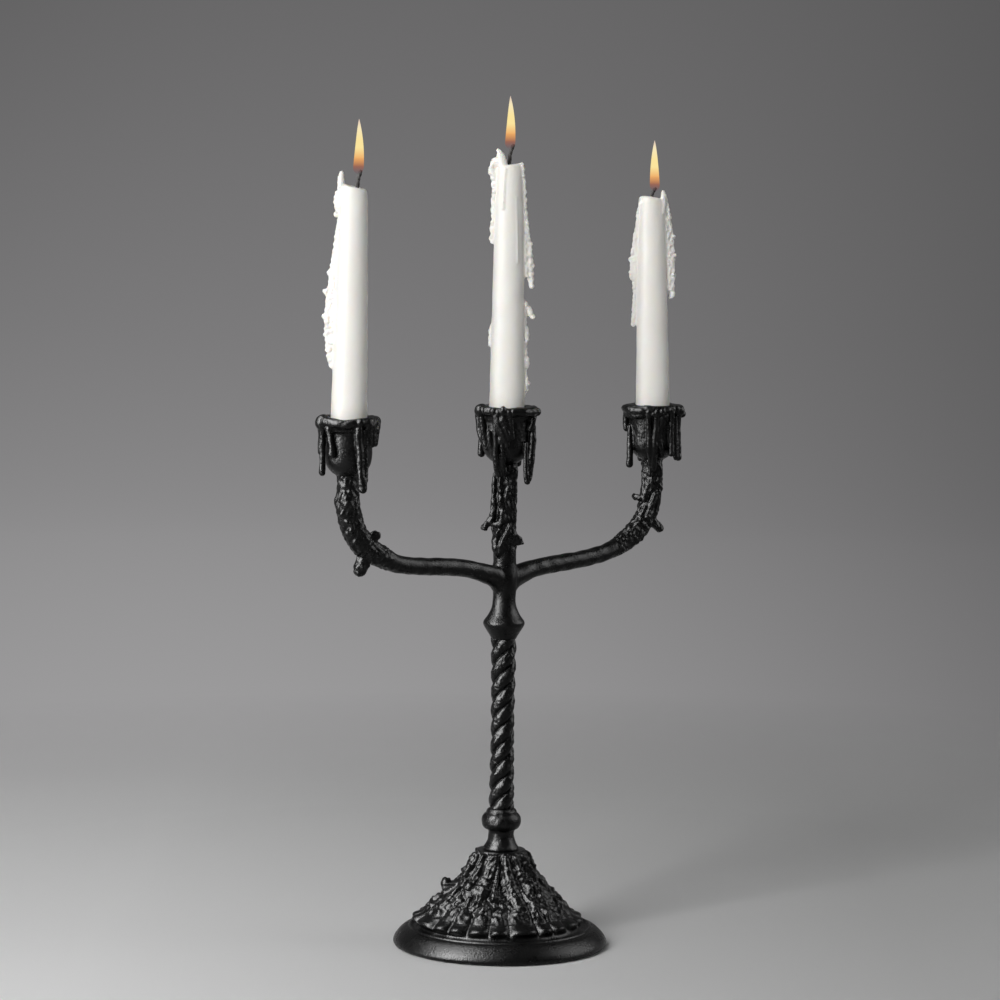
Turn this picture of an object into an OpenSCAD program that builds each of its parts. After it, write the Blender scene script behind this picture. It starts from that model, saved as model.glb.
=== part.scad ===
/* [Foot] */
// Diameter of the foot's plain rim
foot_d = 130; // [100:1:170]
// Height of the plain rim
rim_h = 10.4; // [7:0.1:16]
// Roundness of the rim's lower edge
rim_round = 4; // [2:0.1:6]
// Width of the rim's sloping band, from its edge in to the mound
rim_w = 12; // [9:0.1:17]
// Height of the mound above the rim
mound_h = 47; // [30:0.5:70]
// Diameter of the mound's flat top
mound_top_d = 29.5; // [24:0.5:38]
// Number of lobes round the lower mound
lobes = 22; // [12:1:30]
// Depth of the grooves between the lobes
lobe_depth = 2.4; // [0:0.1:3]
// Height of the wax runs on the mound
mound_run = 2.2; // [0:0.1:3]
// Wall of the hollow foot casting
foot_wall = 6.5; // [5.5:0.1:9]
// Thickness of the felt under the foot
felt_t = 1.2; // [0.8:0.1:3]

/* [Stem] */
// Height of the turned collar under the twist
collar_h = 25.3; // [18:0.1:36]
// Diameter of the collar's bead
collar_d = 23.9; // [19:0.1:30]
// Diameter of the collar's neck
collar_neck_d = 15.4; // [13:0.1:18]
// Height of the twisted stem
twist_h = 103.7; // [70:0.1:150]
// Diameter of one strand of the twist
strand_d = 9.9; // [9.2:0.1:12]
// Distance from the stem's axis to the middle of a strand
strand_out = 2.6; // [2:0.1:3.5]
// Height in which one strand goes once round
twist_lead = 32.7; // [24:0.1:60]

/* [Hub] */
// Diameter of the knop's edge
knop_d = 25.2; // [21:0.1:32]
// Height of the knop from the twist to its waist
knop_h = 24.4; // [20:0.1:32]
// Diameter of the waist above the knop
hub_neck_d = 13.8; // [12.5:0.1:17]
// Height of the branching point above the waist
branch_rise = 17; // [15:0.1:24]

/* [Arms] */
// Distance from the stem's axis to the axis of an outer cup
arm_reach = 121; // [95:1:150]
// Diameter of an arm's smooth part
arm_d = 10.4; // [9:0.1:12]
// Diameter of an arm where wax thickens it
wax_d = 13.6; // [12.5:0.1:16]
// Slope of an arm's straight part in degrees
arm_slope = 5.6; // [0:0.1:12]
// Bend radius of the elbow
elbow_r = 36; // [26:0.5:50]
// Height of the upright neck above the elbow
neck_h = 17.9; // [15.5:0.1:26]
// Diameter of the upright neck and of the centre post
neck_d = 12.8; // [11.5:0.1:15]
// How much higher the middle cup stands
middle_lift = 2.6; // [0:0.1:20]

/* [Cups] */
// Height of a cup
cup_h = 34.6; // [30:0.1:46]
// Diameter of a cup's body
cup_d = 29.8; // [28.5:0.1:34]
// Diameter of a cup's rim
cup_rim_d = 38; // [35:0.1:44]
// Height of the rim band
rim_band_h = 6; // [4:0.1:9]
// Depth of the candle socket
socket_depth = 22; // [16:0.1:23]
// Gap all round between candle and socket
candle_gap = 1; // [0.9:0.1:1.6]

/* [Candles] */
// Diameter of a candle at its foot
candle_d = 22; // [20:0.1:22.5]
// Length of the left candle
candle_left_h = 154.4; // [60:0.1:260]
// Length of the middle candle
candle_middle_h = 166.2; // [60:0.1:260]
// Length of the right candle
candle_right_h = 150; // [60:0.1:260]
// Loss of diameter from a candle's foot to its tip
candle_taper = 5.6; // [0:0.1:8]
// Diameter of a wick
wick_d = 1.8; // [1.2:0.1:2.4]
// Length of the left candle's wick above the wax
wick_left_h = 10.6; // [6:0.1:14]
// Length of the middle candle's wick above the wax
wick_middle_h = 12.8; // [6:0.1:14]
// Length of the right candle's wick above the wax
wick_right_h = 7.4; // [6:0.1:14]
// Height of a flame
flame_h = 28; // [16:0.1:40]
// Width of a flame
flame_d = 6.6; // [4:0.1:9]

/* [Fasteners] */
// Diameter of the tie rod
rod_d = 6; // [5:0.1:6.4]
// Size of the tie rod's nut across its flats
nut_flats = 10; // [9.5:0.1:11]
// Height of the nut
nut_h = 5; // [4:0.1:7]
// Diameter of the washers on the tie rod
washer_d = 13; // [12.5:0.1:15]
// Thickness of the washers
washer_t = 1.2; // [0.8:0.1:2]
// Diameter of a cup screw
screw_d = 4; // [3:0.1:4.5]
// Diameter of a cup screw's head
screw_head_d = 7.6; // [7:0.1:8.2]
// Height of a cup screw's head
screw_head_h = 2.6; // [2:0.1:3]
// How far a cup screw goes into the arm
screw_grip = 11; // [6:0.1:13]

/* [Hidden] */

// Number of sides of turned parts, of drips and of one strand
turned_sides = 64;
drip_sides = 32;
strand_sides = 24;
// Slices of the twist in one turn of a strand
twist_slices = 15;
// Steps of a turned curve
curve_steps = 6;
// Sides of the mound for each lobe
lobe_sides = 6;

// Running clearance of a rod or screw in its hole, and of a spigot in its socket
hole_gap = 0.15;
// Clearance between a candle's foot and the socket floor, and between a wick and its flame
rest_gap = 0.3;
// How far a cutting tool runs past the face that it cuts
overrun = 1;

// Foot
felt_inset = 3;
felt_margin = 0.5;
top_plate = 6;
bead_r = 0.75;
mound_power = 1.55;
hollow_power = 1.45;
// How far the rim's band is from a quarter of an ellipse, which is 1
rim_power = 1.7;
mound_sink = rim_h / 3;
foot_r = foot_d / 2;
mound_r = foot_r - rim_w;
mound_top_r = mound_top_d / 2;
bead_out = mound_r + 2 * bead_r;
rim_z = felt_t + rim_h;
mound_top_z = rim_z + mound_h;
plate_z = mound_top_z - top_plate;
hollow_r = foot_r - rim_round - foot_wall;
// Flat-topped bay under the top plate for the washers
bay_gap = 1.2;
bay_h = 3;
bay_r = washer_d / 2 + bay_gap;
// Direction of the first lobe, share of the mound's height over which the lobes fade out, and
// share of their depth that stands above the mound's line
lobe_dir = 1.1;
lobe_share = 0.36;
lobe_out_share = 0.4;
// The lobes' thick rolled feet: height share, half thickness as a height share, and reach
foot_share = 0.105;
foot_half_share = 0.042;
foot_reach = 1;
// The side of the mound where more wax has gathered: direction, half width in degrees, and reach
heavy_dir = 145;
heavy_wide = 50;
heavy_reach = 3.6;
// Rings of the mound, as shares of its height
mound_levels = [0, 0.035, 0.065, 0.095, 0.125, 0.16, 0.21, 0.28, 0.36, 0.44, 0.52, 0.61, 0.71, 0.83, 0.93, 1];
// The high lump on the mound: its direction and half width in degrees, its height shares from low
// to high, and its distance from the axis as a share of the mound's radius
peak_dir = 139;
peak_wide = 9;
peak_low_share = 0.37;
peak_high_share = 0.58;
peak_out_share = 0.69;
// Runs of wax on the mound: direction at the top, turn on the way down, height share of the top and
// of the end, and half width and height as shares of a run's height
mound_runs = [
    [237, 14, 0.96, 0.33, 1.50, 1.15],
    [215, -12, 0.96, 0.46, 1.50, 1.00],
    [189, -8, 0.94, 0.53, 1.00, 0.90],
    [263, 8, 0.94, 0.44, 0.90, 0.86],
    [287, 8, 0.94, 0.62, 0.95, 1.00],
    [279, 5, 0.60, 0.30, 0.80, 0.78],
    [307, 6, 0.80, 0.42, 0.95, 0.90],
    [163, -6, 0.92, 0.64, 1.10, 1.00],
    [171, -4, 0.58, 0.28, 0.80, 0.80],
    [333, 4, 0.94, 0.48, 1.05, 0.96],
    [325, 1, 0.58, 0.30, 0.80, 0.80],
    [353, -4, 0.92, 0.62, 0.95, 0.90],
    [0, -3, 0.62, 0.29, 0.85, 0.80],
    [17, 3, 0.96, 0.44, 1.20, 1.10],
    [33, -4, 0.71, 0.33, 0.90, 0.86],
    [49, 4, 0.94, 0.53, 1.10, 1.00],
    [59, 4, 0.62, 0.29, 0.80, 0.80],
    [73, -2, 0.94, 0.49, 1.05, 0.96],
    [89, 2, 0.74, 0.35, 0.90, 0.86],
    [103, -4, 0.94, 0.62, 1.05, 1.00],
    [113, -2, 0.62, 0.29, 0.85, 0.80],
    [125, -2, 0.90, 0.67, 0.95, 0.90]];

// Collar
collar_z = mound_top_z;
twist_z = collar_z + collar_h;
collar_flare_share = 1.36;
flare_share = 0.34;
bead_low_share = 0.48;
bead_high_share = 0.88;
twist_r = strand_out + strand_d / 2;

// Twist and hub
strands = 3;
hub_z = twist_z + twist_h;
knop_edge_share = 0.4;
waist_z = hub_z + knop_h;
branch_z = waist_z + branch_rise;
hub_stub = hub_neck_d * 0.8;
hub_post_z = branch_z + hub_neck_d * 0.65;
spigot_d = 6.4;
spigot_l = 5;

// Arms
arm_r = arm_d / 2;
wax_r = wax_d / 2;
neck_r = neck_d / 2;
elbow_start = arm_reach - elbow_r + elbow_r * sin(arm_slope);
run_l = elbow_start / cos(arm_slope);
elbow_z = branch_z + run_l * sin(arm_slope) + elbow_r * cos(arm_slope);
cup_z = elbow_z + neck_h;
middle_cup_z = cup_z + middle_lift;

// Cups
cup_r = cup_d / 2;
cup_rim_r = cup_rim_d / 2;
socket_r = candle_d / 2 + candle_gap;
floor_h = cup_h - socket_depth;
head_space = screw_head_h + washer_t;
head_gap = 0.8;
cup_belly_share = 0.3;
cup_flare_share = 0.3;

// Fasteners
rod_tail = 4;
rod_low_z = plate_z - 2 * washer_t - nut_h - rod_tail;
rod_top_z = waist_z;
slot_w = 1.1;
split_w = 1.2;
slot_h = screw_head_h * 0.5;

// Candles
candle_r = candle_d / 2;
tip_r = candle_r - candle_taper / 2;
melt_h = 3.2;
melt_r_share = 0.62;
wick_bend_share = 0.45;
wick_lean = 24;
// Lean of each candle in degrees, and the direction in which it and its wick lean
lean_dir = -41;
lean_left = 0.6;
lean_middle = 0;
lean_right = -1.2;

// Wax on the left cup: direction, drop as a share of the cup's height, thickness and head as
// shares of the rim's radius, and how far the tip draws in as a share of the rim's overhang
drips_left_share = [
    [154, 0.99, 0.125, 0.19, 1.0],
    [203, 0.66, 0.165, 0.15, 0.9],
    [258, 1.24, 0.115, 0.17, 1.0],
    [272, 0.86, 0.125, 0.14, 0.8],
    [301, 0.50, 0.175, 0.17, 0.4],
    [345, 0.78, 0.130, 0.16, 0.9],
    [32, 1.05, 0.120, 0.17, 1.0],
    [92, 0.62, 0.160, 0.16, 0.8]
];
// Wax on the middle cup, in the same terms
drips_middle_share = [
    [152, 0.62, 0.170, 0.21, 0.7],
    [208, 1.52, 0.105, 0.18, 1.5],
    [232, 0.52, 0.165, 0.17, 0.9],
    [286, 1.34, 0.130, 0.18, 1.0],
    [338, 0.74, 0.150, 0.16, 0.8],
    [22, 1.08, 0.115, 0.17, 1.0],
    [82, 0.68, 0.150, 0.18, 0.8],
    [116, 0.92, 0.120, 0.15, 0.9]
];
// Wax on the right cup, in the same terms
drips_right_share = [
    [158, 0.42, 0.160, 0.18, 0.6],
    [173, 1.10, 0.100, 0.15, 1.0],
    [221, 0.98, 0.125, 0.15, 1.4],
    [241, 1.00, 0.115, 0.15, 1.5],
    [284, 0.92, 0.130, 0.18, 0.9],
    [307, 0.99, 0.130, 0.18, 0.9],
    [8, 0.70, 0.155, 0.17, 0.8],
    [72, 1.06, 0.115, 0.16, 1.0]
];

// Wax lumps on the left arm: place along the elbow and neck, direction round the arm where zero is
// the inside of the bend, and offset and radius as shares of the arm's radius
lumps_left_share = [
    [0.05, 250, 0.46, 1.06],
    [0.10, 40, 0.52, 1.00],
    [0.19, 130, 0.56, 1.04],
    [0.30, 200, 0.50, 1.12],
    [0.36, 300, 0.60, 0.98],
    [0.45, 110, 0.52, 1.10],
    [0.52, 240, 0.58, 1.02],
    [0.60, 180, 0.62, 1.06],
    [0.64, 60, 0.50, 1.08],
    [0.74, 190, 0.66, 1.04]
];
// Wax lumps on the right arm, in the same terms
lumps_right_share = [
    [0.07, 190, 0.60, 1.02],
    [0.13, 80, 0.50, 1.06],
    [0.22, 290, 0.58, 1.02],
    [0.33, 150, 0.54, 1.12],
    [0.42, 20, 0.56, 1.00],
    [0.50, 230, 0.52, 1.06],
    [0.60, 120, 0.56, 1.02],
    [0.72, 280, 0.60, 1.02],
    [0.84, 90, 0.56, 1.00],
    [0.88, 210, 0.52, 1.04]
];
// Wax nubs on the left arm: place along the elbow and neck, compass direction, tilt up, and
// length and radius as shares of the arm's radius
nubs_left_share = [
    [0.25, 319, 36, 2.00, 0.63],
    [0.24, 139, -78, 2.17, 0.77]
];
// Wax nubs on the right arm, in the same terms
nubs_right_share = [
    [0.67, 139, 6, 1.75, 0.50],
    [0.50, 319, -45, 2.40, 0.58]
];

// Wax lumps on the centre post: height share, direction, and offset and radius as shares of the
// post's radius
lumps_post_share = [
    [0.10, 215, 0.42, 0.74],
    [0.24, 205, 0.46, 0.78],
    [0.36, 232, 0.40, 0.80],
    [0.50, 262, 0.42, 0.80],
    [0.60, 200, 0.46, 0.76],
    [0.70, 300, 0.42, 0.80],
    [0.78, 60, 0.44, 0.80],
    [0.90, 236, 0.40, 0.84]
];
// Runs of wax down the post: direction, then for each point its height share, and its distance
// from the axis and radius as shares of the post's radius
runs_post_share = [
    [139, [[0.88, 1.12, 0.28], [0.62, 1.16, 0.26], [0.42, 1.30, 0.30], [0.26, 1.98, 0.40]]],
    [319, [[0.34, 0.80, 0.34], [0.20, 1.20, 0.42], [0.13, 1.62, 0.24]]]
];

// Wax on the left candle: direction, distance below the tip, width, thickness and drop of each
// run, all but the first as shares of the candle's foot radius
wax_left_share = [
    [139, -0.35, 0.52, 0.26, 1.0],
    [152, 0.85, 0.36, 0.20, 1.5],
    [136, 2.3, 0.46, 0.20, 3.2],
    [143, 5.0, 0.56, 0.22, 3.3],
    [120, 8.0, 0.34, 0.18, 1.6],
    [30, 1.1, 0.30, 0.17, 2.8]
];
// Wax on the middle candle, in the same terms
wax_middle_share = [
    [142, -0.35, 0.70, 0.32, 1.4],
    [150, 1.6, 0.38, 0.20, 2.2],
    [160, 3.6, 0.30, 0.17, 2.2],
    [324, 0.7, 0.36, 0.19, 3.6],
    [316, 4.0, 0.46, 0.21, 2.8],
    [328, 7.6, 0.50, 0.20, 0.9],
    [312, 9.6, 0.26, 0.17, 2.0],
    [140, 9.2, 0.24, 0.16, 1.5],
    [60, 2.4, 0.30, 0.18, 3.4]
];
// Wax on the right candle, in the same terms
wax_right_share = [
    [322, -0.15, 0.48, 0.26, 2.2],
    [316, 2.6, 0.52, 0.22, 2.8],
    [331, 1.4, 0.46, 0.20, 3.2],
    [140, 0.55, 0.34, 0.20, 1.9],
    [146, 2.0, 0.52, 0.21, 2.6],
    [140, 4.9, 0.50, 0.17, 2.4],
    [70, 1.4, 0.30, 0.18, 2.6]
];

// A point at a distance from the axis, in a compass direction and at a height
function around(dist, dir, z) = [dist * cos(dir), dist * sin(dir), z];

// A unit vector in a compass direction and tilted up
function heading(dir, tilt) = [cos(tilt) * cos(dir), cos(tilt) * sin(dir), sin(tilt)];

// A hollow curve from one radius and height to another, steep where it ends
function flare(r0, z0, r1, z1) =
    [for (i = [0 : curve_steps]) let (t = i / curve_steps) [r1 + (r0 - r1) * pow(1 - t, 2), z0 + (z1 - z0) * t]];

// Points of an arc, by centre, radius and first and last angle
function arc(r, z, rad, a0, a1) =
    [for (i = [0 : curve_steps]) let (a = a0 + (a1 - a0) * i / curve_steps) [r + rad * cos(a), z + rad * sin(a)]];

// Points of half an oval that bulges out between two heights
function bulge(r0, r1, z0, z1) =
    [for (i = [0 : curve_steps]) let (t = i / curve_steps) [r0 + (r1 - r0) * sin(180 * t), z0 + (z1 - z0) * t]];

// A turned solid from its outline
module turned(outline) {
    rotate_extrude($fn = turned_sides) polygon(outline);
}

// A round hole or bar
module bar(r, h) {
    cylinder(r = r, h = h, $fn = turned_sides);
}

// A tapered bar between two points
module bar_between(a, b, ra, rb) {
    v = b - a;
    translate(a)
        rotate([0, acos(v.z / norm(v)), atan2(v.y, v.x)])
            cylinder(r1 = ra, r2 = rb, h = norm(v), $fn = drip_sides);
}

module ball(p, r) {
    translate(p) sphere(r = r, $fn = drip_sides);
}

// A run of wax through points, with a ball at each point and slimmer bars between them
module wax_run(points, radii) {
    slim = 0.94;
    for (i = [0 : len(points) - 1]) ball(points[i], radii[i]);
    for (i = [0 : len(points) - 2])
        bar_between(points[i], points[i + 1], radii[i] * slim, radii[i + 1] * slim);
}

// A short blunt nub that sticks out from a point
module nub(p, dir, tilt, length, r) {
    tip = p + length * heading(dir, tilt);
    bar_between(p, tip, r * 1.08, r * 0.94);
    ball(tip, r);
}

// Radius of the mound's line, and of its hollow, at a share of the height, without lobes or runs
function mound_line(t) = mound_top_r + (mound_r - mound_top_r) * pow(1 - t, mound_power);
function hollow_line(t) = mound_top_r - foot_wall + (mound_r - mound_top_r) * pow(1 - t, hollow_power);

// A straight step from 0 at low to 1 at high
function fade(t, low, high) = max(0, min(1, (t - low) / (high - low)));

// 0 over the middle of a lobe, 1 in the groove between two lobes
function groove_at(a) = pow(0.5 - 0.5 * cos(lobes * (a - lobe_dir)), 2);

// Height above the mound's line of the lobes, of their feet and of the heavy side
function lobe_rise(a, t) =
    lobe_depth * (lobe_out_share - groove_at(a)) * (1 - fade(t, lobe_share * 0.7, lobe_share)) * fade(t, 0.03, 0.08);
function foot_rise(a, t) = foot_reach * (1 - groove_at(a)) * exp(-pow((t - foot_share) / foot_half_share, 2));
function heavy_rise(a, t) =
    heavy_reach * exp(-pow(turn_between(a, heavy_dir) / heavy_wide, 2)) * fade(t, 0.02, 0.08)
    * (1 - fade(t, 0.35, 0.65));

// Height of one run of wax, a rounded ridge, and of the highest run at a place on the mound
function turn_between(a, b) = (a - b + 540) % 360 - 180;
function run_height(a, t, run) =
    let (down = fade(run[2] - t, 0, run[2] - run[3]),
         half = mound_run * run[4],
         across = turn_between(a, run[0] + run[1] * down) * PI / 180 * mound_line(min(t, 0.98)) / half,
         past = mound_h * (max(0, run[3] - t) + max(0, t - run[2])) / half)
    mound_run * run[5] * sqrt(max(0, 1 - across * across - past * past));
function run_rise(a, t) = max([for (run = mound_runs) run_height(a, t, run)]) * (1 - fade(t, 0.86, 1));

// How much the high lump fills a place, from 0 to 1
function peak_mask(a, t) =
    (1 - fade(abs(turn_between(a, peak_dir)), peak_wide * 0.7, peak_wide * 1.2))
    * fade(t, peak_low_share - 0.06, peak_low_share) * (1 - fade(t, peak_high_share, peak_high_share + 0.04));
function mound_bare(a, t) =
    mound_line(t) + lobe_rise(a, t) + foot_rise(a, t) + heavy_rise(a, t) + run_rise(a, t);
function mound_at(a, t) =
    let (r = mound_bare(a, t)) r + max(0, mound_r * peak_out_share - r) * peak_mask(a, t);

// The mound: rings of points round the axis, closed by a flat bottom and a flat top
module mound() {
    sides = lobes * lobe_sides;
    low = rim_z - mound_sink;
    angles = [for (j = [0 : sides - 1]) lobe_dir + 360 * j / sides];
    rings = concat(
        [[for (a = angles) around(mound_r - lobe_depth, a, low)]],
        [for (t = mound_levels) [for (a = angles) around(mound_at(a, t), a, rim_z + mound_h * t)]]);
    last = len(rings) - 1;
    walls = [for (i = [0 : last - 1], j = [0 : sides - 1]) let (k = (j + 1) % sides)
        each [[i * sides + j, (i + 1) * sides + j, (i + 1) * sides + k],
              [i * sides + j, (i + 1) * sides + k, i * sides + k]]];
    floor_face = [[for (j = [0 : sides - 1]) j]];
    top_face = [[for (j = [sides - 1 : -1 : 0]) last * sides + j]];
    polyhedron(points = [for (ring = rings) each ring], faces = concat(walls, floor_face, top_face));
}

// Hollow cast foot: sloping rim, fine bead, lobed and wax-laden mound, hole for the tie rod
module foot() {
    color([0.045, 0.045, 0.047]) difference() {
        union() {
            turned(concat(
                [[0, felt_t]],
                arc(foot_r - rim_round / 2, felt_t + rim_round / 2, rim_round / 2, -90, 0),
                [for (i = [1 : 2 * curve_steps]) let (a = 45 * i / curve_steps)
                    [bead_out + (foot_r - bead_out) * pow(cos(a), rim_power),
                     felt_t + rim_round / 2 + (rim_h - rim_round / 2) * sin(a)]],
                [[0, rim_z]]));
            translate([0, 0, rim_z])
                rotate_extrude($fn = turned_sides)
                    translate([bead_out, 0]) circle(r = bead_r, $fn = drip_sides);
            mound();
        }
        turned(concat(
            [[0, felt_t - overrun], [hollow_r, felt_t - overrun], [hollow_r, felt_t + rim_h / 3]],
            [for (i = [0 : curve_steps]) let (t = i / curve_steps * (1 - top_plate / mound_h))
                [hollow_line(t), rim_z + mound_h * t - foot_wall * (1 - t) / 2]],
            [[bay_r, plate_z - bay_h], [bay_r, plate_z], [0, plate_z]]));
        translate([0, 0, plate_z - overrun]) bar(rod_d / 2 + hole_gap, top_plate + 2 * overrun);
    }
}

// Felt ring under the foot's rim, open in the middle like the hollow above it
module felt_pad() {
    color([0.05, 0.05, 0.05]) difference() {
        bar(foot_r - felt_inset, felt_t);
        translate([0, 0, -overrun]) bar(hollow_r + felt_margin, felt_t + 2 * overrun);
    }
}

// Turned collar between foot and twist
module lower_collar() {
    neck = collar_neck_d / 2;
    color([0.045, 0.045, 0.047]) translate([0, 0, collar_z]) difference() {
        turned(concat(
            [[0, 0]],
            flare(neck * collar_flare_share, 0, neck, collar_h * flare_share),
            bulge(neck * 1.1, collar_d / 2, collar_h * bead_low_share, collar_h * bead_high_share),
            [[twist_r * 1.2, collar_h * bead_high_share], [twist_r * 1.06, collar_h], [0, collar_h]]));
        translate([0, 0, -overrun]) bar(rod_d / 2 + hole_gap, collar_h + 2 * overrun);
    }
}

// Stem of three strands twisted together, right-handed
module twisted_stem() {
    turns = twist_h / twist_lead;
    color([0.045, 0.045, 0.047]) translate([0, 0, twist_z]) difference() {
        linear_extrude(height = twist_h, twist = -360 * turns, slices = round(twist_slices * turns))
            for (i = [0 : strands - 1])
                rotate(360 * i / strands) translate([strand_out, 0]) circle(d = strand_d, $fn = strand_sides);
        translate([0, 0, -overrun]) bar(rod_d / 2 + hole_gap, twist_h + 2 * overrun);
    }
}

// Direction along an arm's straight part on one side of the stem
function arm_heading(side) = [side * cos(arm_slope), 0, sin(arm_slope)];

// Hub: knop, waist and branching block, with a blind hole for the rod and sockets for the spigots
module branch_hub() {
    neck = hub_neck_d / 2;
    post_h = hub_post_z - hub_z;
    rise = branch_z - hub_z;
    start = [0, 0, branch_z];
    color([0.045, 0.045, 0.047]) difference() {
        union() {
            translate([0, 0, hub_z]) turned(concat(
                [[0, 0], [twist_r * 1.05, 0]],
                [[knop_d / 2 * 0.97, knop_h * (knop_edge_share - 0.04)]],
                flare(knop_d / 2, knop_h * knop_edge_share, neck, knop_h),
                [[neck * 1.12, rise * 0.76], [neck * 1.22, rise], [neck * 1.02, post_h], [0, post_h]]));
            for (side = [-1, 1])
                bar_between(start, start + hub_stub * arm_heading(side), neck * 1.12, arm_r);
        }
        translate([0, 0, hub_z - overrun]) bar(rod_d / 2 + hole_gap, rod_top_z - hub_z + 2 * overrun);
        translate([0, 0, hub_post_z - spigot_l - rest_gap])
            bar(spigot_d / 2 + hole_gap, spigot_l + rest_gap + overrun);
        for (side = [-1, 1])
            bar_between(start + (hub_stub - spigot_l - rest_gap) * arm_heading(side),
                start + (hub_stub + overrun) * arm_heading(side),
                spigot_d / 2 + hole_gap, spigot_d / 2 + hole_gap);
    }
}

// Length of the elbow, and of elbow and neck together
elbow_steps = 6;
elbow_l = PI * elbow_r * (90 - arm_slope) / 180;
bend_l = elbow_l + neck_h;

// Heading angle, and point, on the right arm's centre line at a share of elbow and neck
function bend_angle(s) = min(90, arm_slope + 180 * s * bend_l / (PI * elbow_r));
function bend_point(s) = [
    arm_reach - elbow_r + elbow_r * sin(bend_angle(s)),
    0,
    elbow_z - elbow_r * cos(bend_angle(s)) + max(0, s * bend_l - elbow_l)];
function mirrored(p, side) = [p.x * side, p.y, p.z];

// A cast arm: spigot, straight part, elbow, upright neck with its screw hole, and its wax
module arm(side, lumps, nubs) {
    start = [0, 0, branch_z];
    difference() {
        union() {
            bar_between(start + (hub_stub - spigot_l) * arm_heading(side),
                start + (hub_stub + spigot_l) * arm_heading(side), spigot_d / 2, spigot_d / 2);
            bar_between(start + hub_stub * arm_heading(side), start + run_l * arm_heading(side), arm_r, arm_r);
            bar_between(start + (run_l - wax_d) * arm_heading(side), start + run_l * arm_heading(side),
                arm_r * 0.9, wax_r * 0.9);
            wax_run([for (i = [0 : elbow_steps]) mirrored(bend_point(elbow_l / bend_l * i / elbow_steps), side)],
                [for (i = [0 : elbow_steps]) wax_r]);
            translate([side * arm_reach, 0, elbow_z])
                turned([[0, 0], [wax_r * 0.96, 0], [wax_r * 0.96, neck_h * 0.2], [neck_r, neck_h * 0.3],
                    [neck_r, neck_h], [0, neck_h]]);
            for (l = lumps) {
                a = bend_angle(l[0]);
                out = l[2] * arm_r * [-sin(a) * cos(l[1]), sin(l[1]), cos(a) * cos(l[1])];
                ball(mirrored(bend_point(l[0]) + out, side), l[3] * arm_r);
            }
            for (n = nubs)
                nub(mirrored(bend_point(n[0]), side), n[1], n[2], n[3] * arm_r, n[4] * arm_r);
        }
        translate([side * arm_reach, 0, cup_z - screw_grip - overrun])
            bar(screw_d / 2 + hole_gap, screw_grip + 2 * overrun);
    }
}

module arm_left() {
    color([0.045, 0.045, 0.047]) arm(-1, lumps_left_share, nubs_left_share);
}

module arm_right() {
    color([0.045, 0.045, 0.047]) arm(1, lumps_right_share, nubs_right_share);
}

// Centre post with its wax, its spigot in the hub and the hole for the cup's screw
module centre_post() {
    height = middle_cup_z - hub_post_z;
    color([0.045, 0.045, 0.047]) difference() {
        union() {
            translate([0, 0, hub_post_z]) bar(neck_r, height);
            translate([0, 0, hub_post_z - spigot_l]) bar(spigot_d / 2, spigot_l * 2);
            for (l = lumps_post_share)
                ball(around(l[2] * neck_r, l[1], hub_post_z + height * l[0]), l[3] * neck_r);
            for (run = runs_post_share)
                wax_run([for (q = run[1]) around(q[1] * neck_r, run[0], hub_post_z + height * q[0])],
                    [for (q = run[1]) q[2] * neck_r]);
        }
        translate([0, 0, middle_cup_z - screw_grip - overrun])
            bar(screw_d / 2 + hole_gap, screw_grip + 2 * overrun);
    }
}

// A cup: bowl with a thick rim, candle socket, screw seat, and the wax that hangs from its rim
module cup(drips) {
    lip = cup_rim_r - cup_r;
    color([0.045, 0.045, 0.047]) difference() {
        union() {
            turned(concat(
                [[0, 0], [neck_r * 1.02, 0]],
                [for (i = [0 : curve_steps]) let (t = i / curve_steps)
                    [neck_r * 1.1 + (cup_r - neck_r * 1.1) * sin(90 * t), cup_h * cup_belly_share * (1 - cos(90 * t))
                        + rest_gap]],
                [[cup_r, cup_h - rim_band_h - lip],
                 [cup_rim_r - lip * 0.3, cup_h - rim_band_h]],
                arc(cup_rim_r - rim_band_h / 4, cup_h - rim_band_h / 2, rim_band_h / 4, -60, 60),
                [[cup_rim_r - lip * 0.4, cup_h], [0, cup_h]]));
            for (d = drips) {
                r = d[2] * cup_rim_r;
                head_r = d[3] * cup_rim_r;
                low = cup_h - d[1] * cup_h + r;
                wax_run([
                    around(cup_rim_r - head_r * 0.55, d[0], cup_h - head_r * 0.9),
                    around(cup_rim_r - lip * 0.45 * d[4], d[0], (cup_h + low) / 2),
                    around(cup_rim_r - lip * d[4], d[0], low)], [head_r, r * 0.86, r]);
            }
        }
        translate([0, 0, floor_h]) bar(socket_r, socket_depth * 2);
        translate([0, 0, floor_h - head_space - head_gap])
            bar(screw_head_d / 2 + head_gap, head_space + head_gap + overrun);
        translate([0, 0, -overrun]) bar(screw_d / 2 + hole_gap, floor_h + overrun);
    }
}

// Places of the three cups, and of the candles' feet above their sockets' floors
cup_places = [[-arm_reach, 0, cup_z], [0, 0, middle_cup_z], [arm_reach, 0, cup_z]];

module cup_left() { translate(cup_places[0]) cup(drips_left_share); }
module cup_middle() { translate(cup_places[1]) cup(drips_middle_share); }
module cup_right() { translate(cup_places[2]) cup(drips_right_share); }

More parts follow.
